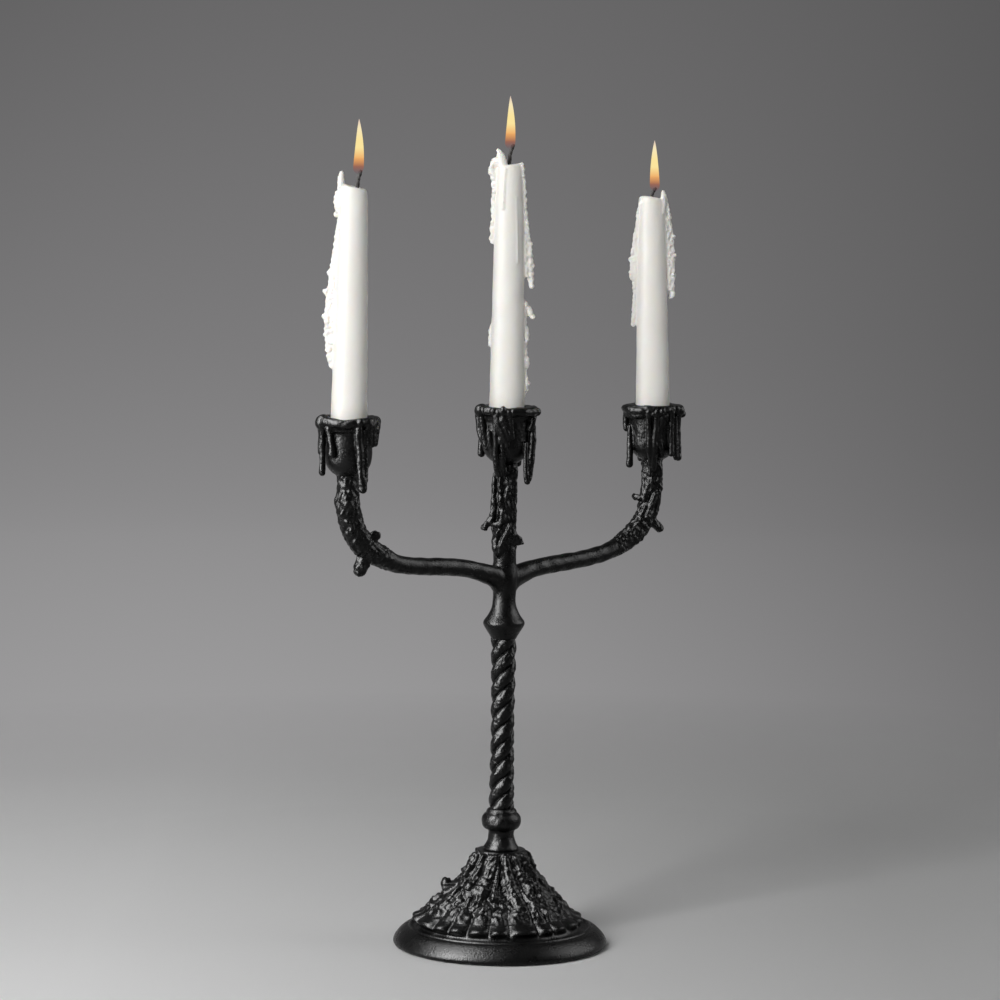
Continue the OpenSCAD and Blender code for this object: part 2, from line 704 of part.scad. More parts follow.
// Screws that hold the cups, each with a washer under its head
module cup_screws() {
    seat = floor_h - head_space - head_gap + washer_t;
    color([0.7, 0.7, 0.72]) for (p = cup_places) translate(p + [0, 0, seat]) difference() {
        union() {
            turned([[0, 0], [screw_head_d / 2, 0], [screw_head_d / 2, screw_head_h * 0.6],
                [screw_head_d * 0.34, screw_head_h], [0, screw_head_h]]);
            translate([0, 0, -seat - screw_grip]) bar(screw_d / 2, seat + screw_grip + screw_head_h / 2);
        }
        translate([-screw_head_d, -slot_w / 2, screw_head_h - slot_h])
            cube([screw_head_d * 2, slot_w, slot_h + overrun]);
    }
}

module cup_washers() {
    seat = floor_h - head_space - head_gap;
    color([0.7, 0.7, 0.72]) for (p = cup_places) translate(p + [0, 0, seat]) difference() {
        bar(screw_head_d / 2, washer_t);
        translate([0, 0, -overrun]) bar(screw_d / 2 + hole_gap, washer_t + 2 * overrun);
    }
}

// Tie rod through foot, collar and twist into the hub, with nut and washers under the foot's plate
module tie_rod() {
    color([0.7, 0.7, 0.72]) translate([0, 0, rod_low_z]) bar(rod_d / 2, rod_top_z - rod_low_z);
}

module flat_washer() {
    color([0.7, 0.7, 0.72]) translate([0, 0, plate_z - washer_t]) difference() {
        bar(washer_d / 2, washer_t);
        translate([0, 0, -overrun]) bar(rod_d / 2 + hole_gap, washer_t + 2 * overrun);
    }
}

// Split spring washer between nut and flat washer
module lock_washer() {
    color([0.7, 0.7, 0.72]) translate([0, 0, plate_z - 2 * washer_t]) difference() {
        bar(nut_flats / 2, washer_t);
        translate([0, 0, -overrun]) bar(rod_d / 2 + hole_gap, washer_t + 2 * overrun);
        translate([0, -split_w / 2, -overrun]) cube([nut_flats, split_w, washer_t + 2 * overrun]);
    }
}

module tie_nut() {
    color([0.7, 0.7, 0.72]) translate([0, 0, plate_z - 2 * washer_t - nut_h]) difference() {
        cylinder(r = nut_flats / 2 / cos(30), h = nut_h, $fn = 6);
        translate([0, 0, -overrun]) bar(rod_d / 2 + hole_gap, nut_h + 2 * overrun);
    }
}

// Puts a candle's frame in its cup: foot just above the socket's floor, leaning in the lean direction
module in_cup(place, lean) {
    translate(place + [0, 0, floor_h + rest_gap + abs(candle_r * sin(lean))])
        rotate([0, 0, lean_dir]) rotate([0, lean, 0]) rotate([0, 0, -lean_dir])
            children();
}

// A taper candle with a melted top, a hole for its wick, and the runs of wax that its length has room for
module candle(length, wax) {
    color([0.93, 0.91, 0.86]) difference() {
        union() {
            turned([[0, 0], [candle_r, 0], [tip_r, length - melt_h], [tip_r * melt_r_share, length], [0, length]]);
            for (w = wax) {
                high = length - w[1] * candle_r;
                side_r = candle_r - (candle_r - tip_r) * high / length;
                fall = w[4] * candle_r;
                out = side_r + (w[3] - 0.06) * candle_r;
                if (high - fall > candle_r) wax_run([
                    around(side_r - w[3] * candle_r * 0.3, w[0], high),
                    around(out - w[2] * candle_r * 0.1, w[0] + 4, high - fall * 0.4),
                    around(out + w[2] * candle_r * 0.1, w[0] + 2, high - fall)],
                    [w[3] * candle_r * 1.1, w[3] * candle_r * 0.9, w[3] * candle_r]);
            }
        }
        translate([0, 0, -overrun]) bar(wick_d / 2 + hole_gap, length + 2 * overrun);
    }
}

// A wick: straight through the candle, then bent over where it burns
module wick(length, bare) {
    bend = [0, 0, length + bare * (1 - wick_bend_share)];
    tip = bend + bare * wick_bend_share * heading(lean_dir, 90 - wick_lean);
    color([0.06, 0.05, 0.05]) union() {
        bar(wick_d / 2, bend.z);
        ball(bend, wick_d / 2 * 1.06);
        bar_between(bend, tip, wick_d / 2 * 0.98, wick_d * 0.4);
    }
}

// Radius of a flame at a share of its height: a rounded foot and a long point
function flame_line(t) = flame_d / 2 * pow(sin(180 * pow(t, 0.6)), 0.9) * (1 - 0.28 * t);

// A flame that stands just above the tip of its wick
module flame(length, bare) {
    steps = curve_steps * 3;
    off = bare * wick_bend_share * sin(wick_lean);
    color([1, 0.78, 0.42]) translate(around(off, lean_dir, length + bare + rest_gap))
        turned(concat([[0, 0]], [for (i = [1 : steps - 1]) [flame_line(i / steps), flame_h * i / steps]],
            [[0, flame_h]]));
}

module candle_left() { in_cup(cup_places[0], lean_left) candle(candle_left_h, wax_left_share); }
module candle_middle() { in_cup(cup_places[1], lean_middle) candle(candle_middle_h, wax_middle_share); }
module candle_right() { in_cup(cup_places[2], lean_right) candle(candle_right_h, wax_right_share); }
module wick_left() { in_cup(cup_places[0], lean_left) wick(candle_left_h, wick_left_h); }
module wick_middle() { in_cup(cup_places[1], lean_middle) wick(candle_middle_h, wick_middle_h); }
module wick_right() { in_cup(cup_places[2], lean_right) wick(candle_right_h, wick_right_h); }
module flame_left() { in_cup(cup_places[0], lean_left) flame(candle_left_h, wick_left_h); }
module flame_middle() { in_cup(cup_places[1], lean_middle) flame(candle_middle_h, wick_middle_h); }
module flame_right() { in_cup(cup_places[2], lean_right) flame(candle_right_h, wick_right_h); }

foot();
felt_pad();
lower_collar();
twisted_stem();
branch_hub();
arm_left();
arm_right();
centre_post();
tie_rod();
tie_nut();
lock_washer();
flat_washer();
cup_left();
cup_middle();
cup_right();
cup_screws();
cup_washers();
candle_left();
candle_middle();
candle_right();
wick_left();
wick_middle();
wick_right();
flame_left();
flame_middle();
flame_right();
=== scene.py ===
import bpy
import numpy as np
from mathutils import Matrix, Vector


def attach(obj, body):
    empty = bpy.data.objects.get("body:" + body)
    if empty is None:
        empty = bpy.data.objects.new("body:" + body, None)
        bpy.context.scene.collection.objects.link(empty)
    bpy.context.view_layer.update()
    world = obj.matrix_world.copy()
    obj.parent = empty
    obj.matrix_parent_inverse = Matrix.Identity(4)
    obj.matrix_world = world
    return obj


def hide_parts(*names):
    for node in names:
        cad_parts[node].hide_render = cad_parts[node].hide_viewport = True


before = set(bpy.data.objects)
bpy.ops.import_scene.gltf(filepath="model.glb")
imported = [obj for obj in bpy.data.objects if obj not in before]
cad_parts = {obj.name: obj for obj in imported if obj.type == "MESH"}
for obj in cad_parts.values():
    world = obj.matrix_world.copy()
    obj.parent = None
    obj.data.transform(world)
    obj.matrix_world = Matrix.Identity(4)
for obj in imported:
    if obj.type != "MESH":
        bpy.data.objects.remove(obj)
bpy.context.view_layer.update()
MM = 0.001

# Viewpoint
# The candelabra is seen from a little above the cups, with its left arm turned towards the eye.
# FRONT is the compass direction, in degrees, that faces the eye; picture_side points to its right.
FRONT = 229.2
eye_place = np.array([-1.3747, -1.5875, 0.4543])
eye_roll = 0.013
eye_lens = 125.83
picture_width = 36.0
picture_side = np.array([0.757, -0.6534, 0.0])
gaze = np.array([-0.00245, 0.00212, 0.2717]) - eye_place
gaze /= np.linalg.norm(gaze)
picture_right = picture_side / np.linalg.norm(picture_side)
picture_up = np.cross(picture_right, gaze)
eye_axes = np.column_stack([
    np.cos(eye_roll) * picture_right + np.sin(eye_roll) * picture_up,
    -np.sin(eye_roll) * picture_right + np.cos(eye_roll) * picture_up,
    -gaze,
])
camera = bpy.data.objects.new("camera", bpy.data.cameras.new("camera"))
bpy.context.scene.collection.objects.link(camera)
camera.data.lens = eye_lens
camera.data.sensor_width = picture_width
camera.data.clip_start = 0.05
camera.data.clip_end = 50
camera.matrix_world = Matrix.Translation(Vector(eye_place)) @ Matrix(eye_axes.tolist()).to_4x4()
bpy.context.scene.camera = camera

# Foot
# A hollow round iron casting: a plain convex rim with a fine raised edge, and a mound like set
# wax, with a ring of thick lobes at its foot and runs and pebbles of wax above. Black satin lacquer.


def unit(vectors):
    """Each vector divided by its length."""
    return vectors / np.maximum(np.linalg.norm(vectors, axis=-1, keepdims=True), 1e-12)


def fade(value, low, high):
    """0 below low, 1 above high, and a smooth S-shaped step between them."""
    t = np.clip((value - low) / (high - low), 0, 1)
    return t * t * (3 - 2 * t)


def hump(value, middle, width):
    """A bell shape that is 1 at its middle and falls to a third one width away."""
    return np.exp(-((value - middle) / width) ** 2)


def way_round(angle, middle):
    """Signed difference of two compass directions in degrees, from -180 to 180."""
    return (angle - middle + 180) % 360 - 180


def ripple(places, size, seed, waves=24):
    """A smooth random height: the sum of plane waves of about one length in random directions."""
    draw = np.random.default_rng(seed)
    heading = unit(draw.normal(size=(waves, 3)))
    pace = 2 * np.pi / size * draw.uniform(0.7, 1.4, waves)
    start = draw.uniform(0, 2 * np.pi, waves)
    return np.sin(places @ (heading * pace[:, None]).T + start).sum(-1) * np.sqrt(2 / waves)


def smooth_line(points, count):
    """Rows on a Catmull-Rom curve through the given rows; a column may hold a radius."""
    p = np.asarray(points, float)
    p = np.vstack([2 * p[0] - p[1], p, 2 * p[-1] - p[-2]])
    t = np.linspace(0, len(p) - 3 - 1e-9, count)
    i = t.astype(int)
    t = (t - i)[:, None]
    a, b, c, d = p[i], p[i + 1], p[i + 2], p[i + 3]
    bend = (2 * a - 5 * b + 4 * c - d) * t ** 2
    return 0.5 * (2 * b + (c - a) * t + bend + (3 * b - a - 3 * c + d) * t ** 3)


def grid_faces(rows, columns, loop_rows):
    """Four-cornered faces of a grid that wraps round its columns, and round its rows if asked."""
    row = np.arange(rows if loop_rows else rows - 1)[:, None] * columns
    column = np.arange(columns)[None, :]
    above = (row + columns) % (rows * columns)
    after = (column + 1) % columns
    return np.stack([row + column, row + after, above + after, above + column], -1).reshape(-1, 4)


def make_piece(name, corners, quads, fans=None):
    """A mesh object from corners in millimetres and four-cornered and three-cornered faces."""
    fans = np.zeros((0, 3), int) if fans is None else fans
    mesh = bpy.data.meshes.new(name)
    mesh.vertices.add(len(corners))
    mesh.vertices.foreach_set("co", (np.asarray(corners) * MM).astype(np.float32).ravel())
    mesh.loops.add(quads.size + fans.size)
    mesh.loops.foreach_set("vertex_index", np.concatenate([quads.ravel(), fans.ravel()]).astype(np.int32))
    mesh.polygons.add(len(quads) + len(fans))
    starts = np.concatenate([np.arange(len(quads)) * 4, quads.size + np.arange(len(fans)) * 3])
    mesh.polygons.foreach_set("loop_start", starts.astype(np.int32))
    mesh.polygons.foreach_set("use_smooth", np.ones(len(starts), bool))
    mesh.update(calc_edges=True)
    piece = bpy.data.objects.new(name, mesh)
    bpy.context.scene.collection.objects.link(piece)
    return piece


def circle(sides):
    """Equal steps round a circle, in radians."""
    return np.arange(sides) * 2 * np.pi / sides


def round_axis(radius, way, height):
    """Places round the upright axis, by radius, direction in radians and height."""
    return np.stack(np.broadcast_arrays(radius * np.cos(way), radius * np.sin(way), height), -1)


def ball(place, radius, stretch=(1, 1, 1), rings=12, sides=20):
    """A closed round lump, stretched along the three axes."""
    tilt = np.linspace(-90, 90, rings + 2)[1:-1, None] * np.pi / 180
    shape = round_axis(np.cos(tilt), circle(sides), np.sin(tilt))
    return np.asarray(place, float) + shape * radius * np.asarray(stretch, float)


def closed(shell):
    """Corners, four-cornered and three-cornered faces of one shell, closed at its ends."""
    rows, columns = shell.shape[:2]
    edge = np.arange(columns)
    after = (edge + 1) % columns
    last = (rows - 1) * columns
    corners = np.concatenate([shell.reshape(-1, 3), shell[0].mean(0)[None], shell[-1].mean(0)[None]])
    fans = np.concatenate([
        np.stack([after, edge, 0 * edge + rows * columns], -1),
        np.stack([last + edge, last + after, 0 * edge + rows * columns + 1], -1)])
    return corners, grid_faces(rows, columns, False), fans


class Wire:
    """An output socket of a material. Sums and products written on wires add their Math nodes."""

    def __init__(self, tree, socket):
        self.tree = tree
        self.socket = socket

    def feed(self, target, value):
        """Links a wire to a node's socket, or sets the socket to a number, colour or vector."""
        if isinstance(value, Wire):
            self.tree.links.new(value.socket, target)
        else:
            target.default_value = value

    def node(self, kind, settings=None, inputs=None, out=0):
        """Adds a node by its type, its settings and the values or links of its sockets."""
        made = self.tree.nodes.new("ShaderNode" + kind)
        for name, value in (settings or {}).items():
            setattr(made, name, value)
        for name, value in (inputs or {}).items():
            self.feed(made.inputs[name], value)
        return Wire(self.tree, made.outputs[out])

    def maths(self, operation, first, second=0.0, clamp=False):
        return self.node("Math", {"operation": operation, "use_clamp": clamp}, {0: first, 1: second})

    def __add__(self, other):
        return self.maths("ADD", self, other)

    def __radd__(self, other):
        return self.maths("ADD", other, self)

    def __sub__(self, other):
        return self.maths("SUBTRACT", self, other)

    def __rsub__(self, other):
        return self.maths("SUBTRACT", other, self)

    def __mul__(self, other):
        return self.maths("MULTIPLY", self, other)

    def __rmul__(self, other):
        return self.maths("MULTIPLY", other, self)

    def __truediv__(self, other):
        return self.maths("DIVIDE", self, other)

    def __pow__(self, other):
        return self.maths("POWER", self, other)

    def between(self, low, high):
        """0 where the wire is low, 1 where it is high, and straight between them."""
        return self.maths("MULTIPLY", self - low, 1 / (high - low), clamp=True)

    def noise(self, size, detail=2.0, roughness=0.5):
        """Noise of about one size, in millimetres, on coordinates in metres."""
        return self.node("TexNoise", None, {"Vector": self, "Scale": 1 / (size * MM), "Detail": detail,
                                            "Roughness": roughness})

    def parts(self):
        """The three numbers of a vector."""
        split = self.node("SeparateXYZ", None, {0: self}).socket.node
        return [Wire(self.tree, socket) for socket in split.outputs]

    def tint(self, low, high):
        """A colour between two, by this wire."""
        return self.node("Mix", {"data_type": "RGBA"}, {"Factor": self, "A": low, "B": high}, 2)

    def bump(self, strength, depth):
        """A shader normal for this height, with the bump's depth in millimetres."""
        return self.node("Bump", None, {"Strength": strength, "Distance": depth * MM, "Height": self})

    def shade(self, inputs):
        """Feeds sockets of the material's Principled shader."""
        for name, value in inputs.items():
            self.feed(self.tree.nodes["Principled BSDF"].inputs[name], value)


def new_material(name):
    """A material with a Principled shader, and a wire of its Object coordinates."""
    material = bpy.data.materials.new(name)
    material.use_nodes = True
    return material, Wire(material.node_tree, None).node("TexCoord", None, None, "Object")


def grey(level):
    return (level, level, level, 1.0)


# The lacquer: fine grain, broad patches of more and less sheen, and a thinner, greyer coat in
# small worn specks
cast_black, place = new_material("black_cast_lacquer")
grain = place.noise(1.2, 3.0, 0.6)
patches = place.noise(9.0, 2.0)
specks = place.noise(1.7, 4.0, 0.7).between(0.58, 0.74)
place.shade({
    "Base Color": specks.tint(grey(0.0018), grey(0.007)),
    "Specular IOR Level": 0.18,
    "Roughness": 0.29 + 0.16 * (patches - 0.5) + 0.12 * (grain - 0.5),
    "Normal": (grain + 0.6 * place.noise(3.84, 2.0)).bump(1.0, 0.26),
})

rim_z = 11.6
mound_top = 58.6
mound_top_r = 14.75
mound_foot_r = 53.0
mound_power = 1.55
mound_rows = 118
lobes = 22
lobe_start = 1.1
roll_top = 20.1
lump_way = 139
foot_columns = 424

heading = np.arange(foot_columns) * 360 / foot_columns
way = np.radians(heading)
lobe_turn = (heading - lobe_start) * lobes / 360
lobe_turn = lobe_turn + 0.12 * np.sin(np.radians(5 * heading + 60))
lobe_turn = lobe_turn + 0.09 * np.sin(np.radians(9 * heading + 120))
lobe_x = 2 * np.abs(lobe_turn - np.round(lobe_turn))
lobe_number = np.round(lobe_turn).astype(int) % lobes

# The underside, the rim and its fine raised edge are turned: distance from the axis and height
hollow_line = [(8.6, 52.6), (8.6, 49.6), (12.3, 49.1), (15.3, 44.4), (18.9, 39.7), (22.7, 34.9), (27, 30.2),
               (31.5, 25.5), (36.2, 20.7), (41.3, 16), (46.5, 11.2), (54.5, 5.6), (54.5, 1.2)]
rim_line = [(62, 0.3), (63.5, 0.5), (64.6, 1.2), (65, 2.4), (64.7, 3.8), (63.9, 5.4), (62.7, 7),
            (61.2, 8.6), (59.4, 10.1), (57.6, 11.1), (56.3, 11.4)]
edge_line = [(55.7, 11.5), (55.3, 12.2), (54.6, 12.5), (53.9, 12.1), (53.4, 11.3), (52.7, 10.9)]
turned_line = np.vstack([hollow_line, smooth_line(rim_line, 44), smooth_line(edge_line, 18)])

# The lobes' rolled feet: one line up the groove between two lobes, one over the middle of a lobe
groove_line = smooth_line([(51.8, 11), (50.4, 11.8), (48.9, 13), (47.4, 14.6), (46, 16), (44.8, 17.4),
                           (43.4, 18.8), (42.3, 20.2)], 30)
roll_line = smooth_line([(51.8, 11), (50, 11.7), (48.9, 13), (49.2, 14.6), (50.3, 15.7), (50.5, 17),
                         (49.6, 18), (47.9, 18.6), (46, 19.3), (44.4, 20.2)], 30)
lobe_mask = (1 - lobe_x ** 2.1) ** 0.8
roll_r = groove_line[:, :1] + (roll_line - groove_line)[:, :1] * lobe_mask
roll_z = groove_line[:, 1:] + (roll_line - groove_line)[:, 1:] * lobe_mask + 0.5 * lobe_mask * lobe_x ** 2
# More wax has gathered on one side of the lower mound
heavy_side = 3.4 * hump(way_round(heading, 145), 0, 50)
roll_r = roll_r + heavy_side * fade(roll_z, 12.2, 15.2)


def cone_r(z):
    """The mound's radius at a height, under its wax."""
    return mound_top_r + (mound_foot_r - mound_top_r) * (1 - (z - rim_z) / (mound_top - rim_z)) ** mound_power


# The mound above: a hollow cone whose surface is pushed out along its normal
mound_z = np.linspace(roll_top, mound_top, mound_rows)
mound_r = cone_r(mound_z)
slope = np.gradient(mound_r, mound_z)
normal_r = 1 / np.hypot(1, slope)
normal_z = -slope * normal_r
z_grid = mound_z[:, None]
r_grid = mound_r[:, None]
flat_places = round_axis(r_grid, way, z_grid)

draw = np.random.default_rng(7)
lobe_tops = draw.uniform(22, 30, lobes)[lobe_number][None, :]
lobe_fade = 1 - fade(z_grid, lobe_tops - 3, lobe_tops + 5)
lobe_rise = (2.9 * np.sqrt(1 - lobe_x ** 2) - 1.7 + 0.35 * ripple(flat_places, 4.5, 6)) * lobe_fade


def pebbles(count, low, high, size, tall, seed):
    """Raised pebbles at random places on the mound: the highest of their rounded humps."""
    pick = np.random.default_rng(seed)
    z = pick.uniform(low, high, count)
    spread = cone_r(z)
    keep = pick.uniform(0, 46, count) < spread
    z, spread = z[keep], spread[keep]
    centre = round_axis(spread, np.radians(pick.uniform(0, 360, len(z))), z)
    wide = size * pick.uniform(0.7, 1.3, len(z))
    high_by = tall * pick.uniform(0.5, 1.2, len(z))
    best = np.zeros(flat_places.shape[:2])
    for row in range(0, mound_rows, 6):
        part = flat_places[row:row + 6].reshape(-1, 1, 3)
        near = np.abs(centre[:, 2] - mound_z[min(row + 3, mound_rows - 1)]) < 8
        gap = part - centre[near]
        gap[..., 2] *= 0.75
        reach = (gap ** 2).sum(-1) / wide[near] ** 2
        bump = high_by[near] * np.clip(1 - reach * 0.6, 0, 1) ** 0.8
        best[row:row + 6] = bump.max(-1).reshape(-1, foot_columns)
    return best


def mound_run(top_way, drift, top_z, low_z, half, height):
    """A run of wax down the mound, by its direction and its turn on the way down, its heights, half width
    and height. It is a rounded ridge with round ends, a little wider at its foot."""
    down = np.clip((top_z - z_grid) / (top_z - low_z), 0, 1)
    half = half * (0.85 + 0.35 * down)
    across = np.radians(way_round(heading[None, :], top_way + drift * down)) * r_grid / half
    past = (np.clip(low_z - z_grid, 0, None) + np.clip(z_grid - top_z, 0, None)) / half
    return 1.15 * height * np.clip(1 - across ** 2 - past ** 2, 0, 1) ** 0.55


# Main runs: direction at the top, turn on the way down, heights of the top and the end, half
# width and height; small ones lie at random between them
main_runs = [
    (237, 14, 57, 29, 3.3, 2.5), (214, -9, 58, 38, 5, 2.6), (189, -8, 56, 38, 2.2, 2),
    (263, 8, 56, 34, 2, 1.9), (287, 8, 56, 42, 2.1, 2.2), (279, 5, 41, 28, 1.8, 1.7),
    (307, 6, 50, 33, 2.1, 2), (163, -6, 55, 43, 2.4, 2.2), (171, -4, 40, 27, 1.8, 1.8),
    (333, 4, 56, 36, 2.3, 2.1), (325, 1, 40, 28, 1.8, 1.8), (353, -4, 55, 42, 2.1, 2),
    (0, -3, 42, 27, 1.9, 1.8), (17, 3, 57, 34, 2.6, 2.4), (33, -4, 46, 29, 2, 1.9),
    (49, 4, 56, 38, 2.4, 2.2), (59, 4, 42, 27, 1.8, 1.8), (73, -2, 56, 36, 2.3, 2.1),
    (89, 2, 47, 30, 2, 1.9), (103, -4, 56, 42, 2.3, 2.2), (113, -2, 42, 27, 1.9, 1.8),
    (125, -2, 54, 44, 2.1, 2), (225, -4, 50, 33, 1.5, 1.6), (259, 4, 38, 25, 1.3, 1.5),
    (195, -3, 37, 27, 1.4, 1.7), (214, -2, 31, 24, 1.8, 1.5)]
runs = np.zeros_like(flat_places[..., 0])
for row in main_runs:
    runs = np.maximum(runs, mound_run(*row))
small_runs = np.zeros_like(runs)
for _ in range(24):
    top_z = draw.uniform(34, 57)
    small_runs = np.maximum(small_runs, mound_run(
        draw.uniform(0, 360), draw.uniform(-9, 9), top_z, max(23, top_z - draw.uniform(7, 20)),
        draw.uniform(1.2, 2.1), draw.uniform(1.0, 1.9)))
big_front_run = mound_run(*main_runs[0]) / main_runs[0][-1]
quiet = 1 - 0.85 * hump(way_round(heading, 246), 0, 13) * fade(z_grid, 26, 32)
quiet = quiet * (1 - 0.9 * hump(way_round(heading, 212), 0, 15) * fade(z_grid, 36, 43))
upper = fade(z_grid, 23, 28) * (1 - fade(z_grid, 56.5, mound_top))
stones = quiet * np.maximum(pebbles(260, 22, 57, 3.4, 1.7, 11), pebbles(360, 22, 58, 1.8, 0.8, 12))
rise = lobe_rise + upper * np.maximum(runs, small_runs * quiet)
rise = rise + stones * (1 - 0.85 * big_front_run) * fade(z_grid, 19, 25) * (1 - fade(z_grid, 56, mound_top))
rise = rise - 1.5 * hump(way_round(heading, 261), 0, 8) * hump(z_grid, 40, 4.5)
rise = rise - 1.2 * hump(way_round(heading, 232), 0, 4) * fade(z_grid, 30, 36) * upper
rise = rise + (0.2 * ripple(flat_places, 3.2, 5) - 0.3) * upper
mound_out_r = r_grid + rise * normal_r[:, None] + heavy_side * (1 - fade(z_grid, 26, 42))
mound_out_z = z_grid + rise * normal_z[:, None]
# The high lump at the left: a box of wax whose outer face stands nearly upright, with a knob on it
lump_mask = (1 - fade(np.abs(way_round(heading, lump_way)), 6.0, 10.0)) * fade(z_grid, 28.4, 31.5)
lump_mask = lump_mask * (1 - fade(z_grid, 37.4, 39.2))
lump_r = 35.2 + 0.5 * ripple(flat_places, 5.0, 8)
mound_out_r = mound_out_r + np.clip(lump_r - mound_out_r, 0, None) * lump_mask
mound_out_z = mound_out_z + (z_grid - mound_out_z) * lump_mask
start_blend = fade(z_grid, roll_top, 22.5)
mound_out_r = roll_r[-1:] + (mound_out_r - roll_r[-1:]) * start_blend
mound_out_z = roll_z[-1:] + (mound_out_z - roll_z[-1:]) * start_blend
end_blend = fade(z_grid, 57.6, mound_top)
mound_out_r = mound_out_r + (mound_top_r - mound_out_r) * end_blend
mound_out_z = mound_out_z + (mound_top - mound_out_z) * end_blend

top_line = np.array([[13.6, mound_top], [11.5, mound_top], [3.3, mound_top], [3.3, 52.6]])
turned_r = np.vstack([turned_line[:, :1] + 0 * way, roll_r, mound_out_r, top_line[:, :1] + 0 * way])
turned_z = np.vstack([turned_line[:, 1:] + 0 * way, roll_z, mound_out_z, top_line[:, 1:] + 0 * way])
foot_corners = round_axis(turned_r, way, turned_z)
knob = ball(round_axis(33, np.radians(lump_way), 37), 3.5, (1, 1, 1), 24, 40)
knob_corners, knob_quads, knob_fans = closed(knob)
knob_corners = knob_corners + 0.25 * ripple(knob_corners, 3.5, 9)[:, None]
foot_quads = grid_faces(len(turned_r), foot_columns, True)
foot_count = foot_corners.size // 3
foot = make_piece("foot_casting", np.concatenate([foot_corners.reshape(-1, 3), knob_corners]),
                  np.concatenate([foot_quads, knob_quads + foot_count]), knob_fans + foot_count)
foot.data.materials.append(cast_black)
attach(foot, "stand")
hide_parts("foot")

# Felt
# A ring of pressed black felt, glued under the foot's rim.
felt, place = new_material("pressed_felt")
fibres = place.noise(0.5, 4.0, 0.7)
place.shade({
    "Base Color": fibres.tint(grey(0.012), grey(0.035)),
    "Roughness": 0.95,
    "Normal": fibres.bump(0.8, 0.3),
})


def redress(node, material):
    """Gives a CAD solid a finished material in all its slots."""
    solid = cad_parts[node]
    for slot in solid.material_slots:
        slot.material = material
    if not solid.material_slots:
        solid.data.materials.append(material)


redress("felt_pad", felt)

# Collar
# A turned iron collar between the foot and the twist: a hollow flare, a neck and a thick bead
# with a narrow bevel above it. Black satin lacquer.
rod_hole = 3.15
collar_top = 83.9
collar_columns = 128
collar_line = np.vstack([
    [(rod_hole, collar_top), (rod_hole, mound_top), (9.8, mound_top)],
    smooth_line([(10.6, 59), (10.4, 60.2), (9.2, 62.4), (8.1, 65.2), (7.65, 67.8), (7.8, 69.6),
                 (8.2, 70.6)], 26),
    smooth_line([(8.6, 70.9), (10.4, 71.9), (11.7, 74), (11.94, 76.6), (11.4, 79), (10.2, 80.6),
                 (9.5, 80.9)], 30),
    smooth_line([(9.3, 81.1), (9.3, 81.8), (8.9, 82.7), (8.3, 83.5), (7.7, collar_top)], 10),
    [(5, collar_top)],
])
way = np.radians(np.arange(collar_columns) * 360 / collar_columns)
radius, height = collar_line[:, :1], collar_line[:, 1:]
uneven = 0.09 * fade(radius, 3.4, 6.0) * ripple(round_axis(radius, way, height), 6.0, 21)
collar = make_piece("collar_casting", round_axis(radius + uneven, way, height).reshape(-1, 3),
                    grid_faces(len(collar_line), collar_columns, True))
collar.data.materials.append(cast_black)
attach(collar, "stand")
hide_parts("lower_collar")

# Twisted stem
# Three round strands twisted together and cast as one bar, right-handed, with deep dark grooves.
twist_low, twist_high, twist_lead = collar_top, 187.6, 32.7
strand_r, strand_out = 5.3, 2.2
twist_rows, twist_columns = 300, 144
turn = circle(twist_columns)
height = np.linspace(twist_low, twist_high, twist_rows)[:, None]
third = 2 * np.pi / 3
phase = (turn - 2 * np.pi * height / twist_lead + np.pi / 3) % third - third / 2
reach = strand_out * np.cos(phase) + np.sqrt(np.maximum(strand_r ** 2 - (strand_out * np.sin(phase)) ** 2, 0))
waist = 1 + 0.035 * np.cos(2 * np.pi * (height - twist_low) / (twist_high - twist_low))
reach = reach * waist - 0.75 * hump(np.abs(phase), third / 2, 0.14)
places = round_axis(reach, turn, height)
reach = reach + 0.10 * ripple(places, 5.0, 31) + 0.05 * ripple(places, 2.2, 32)
bore = round_axis(rod_hole, turn, np.array([[twist_high], [twist_low]]))
stem_corners = np.concatenate([round_axis(reach, turn, height), bore]).reshape(-1, 3)
stem = make_piece("twisted_stem_casting", stem_corners, grid_faces(twist_rows + 2, twist_columns, True))
stem.data.materials.append(cast_black)
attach(stem, "stand")
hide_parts("twisted_stem")

# Branches
# One seamless iron form: a knop and waist, two bowed arms that turn up into necks, and a centre
# post. Wax-like lumps, runs and nubs lie on the bends, the necks and the post. Black satin lacquer.


def rings(across, upright, sides):
    """A circle of unit steps round each place of a line, in the plane of two directions."""
    turn = circle(sides)[:, None]
    return np.cos(turn) * across[:, None] + np.sin(turn) * upright[:, None]


def tube(rows, sides=20, steps=8):
    """A closed round bar with domed ends: rows of x, y, z and radius, joined by a smooth line."""
    line = smooth_line(rows, max(steps * (len(rows) - 1), 3))
    middle, radius = line[:, :3], np.maximum(line[:, 3], 0.15)
    along = unit(np.gradient(middle, axis=0))
    dome = np.radians([78, 55, 30])
    head = middle[0] - along[0] * (radius[0] * np.sin(dome))[:, None]
    tail = middle[-1] + along[-1] * (radius[-1] * np.sin(dome[::-1]))[:, None]
    middle = np.vstack([head, middle, tail])
    radius = np.concatenate([radius[0] * np.cos(dome), radius, radius[-1] * np.cos(dome[::-1])])
    along = np.vstack([along[:1].repeat(3, 0), along, along[-1:].repeat(3, 0)])
    helper = np.eye(3)[np.abs(along).mean(0).argmin()]
    across = unit(np.cross(along, helper))
    ring = rings(across, np.cross(along, across), sides)
    return middle[:, None] + ring * radius[:, None, None]


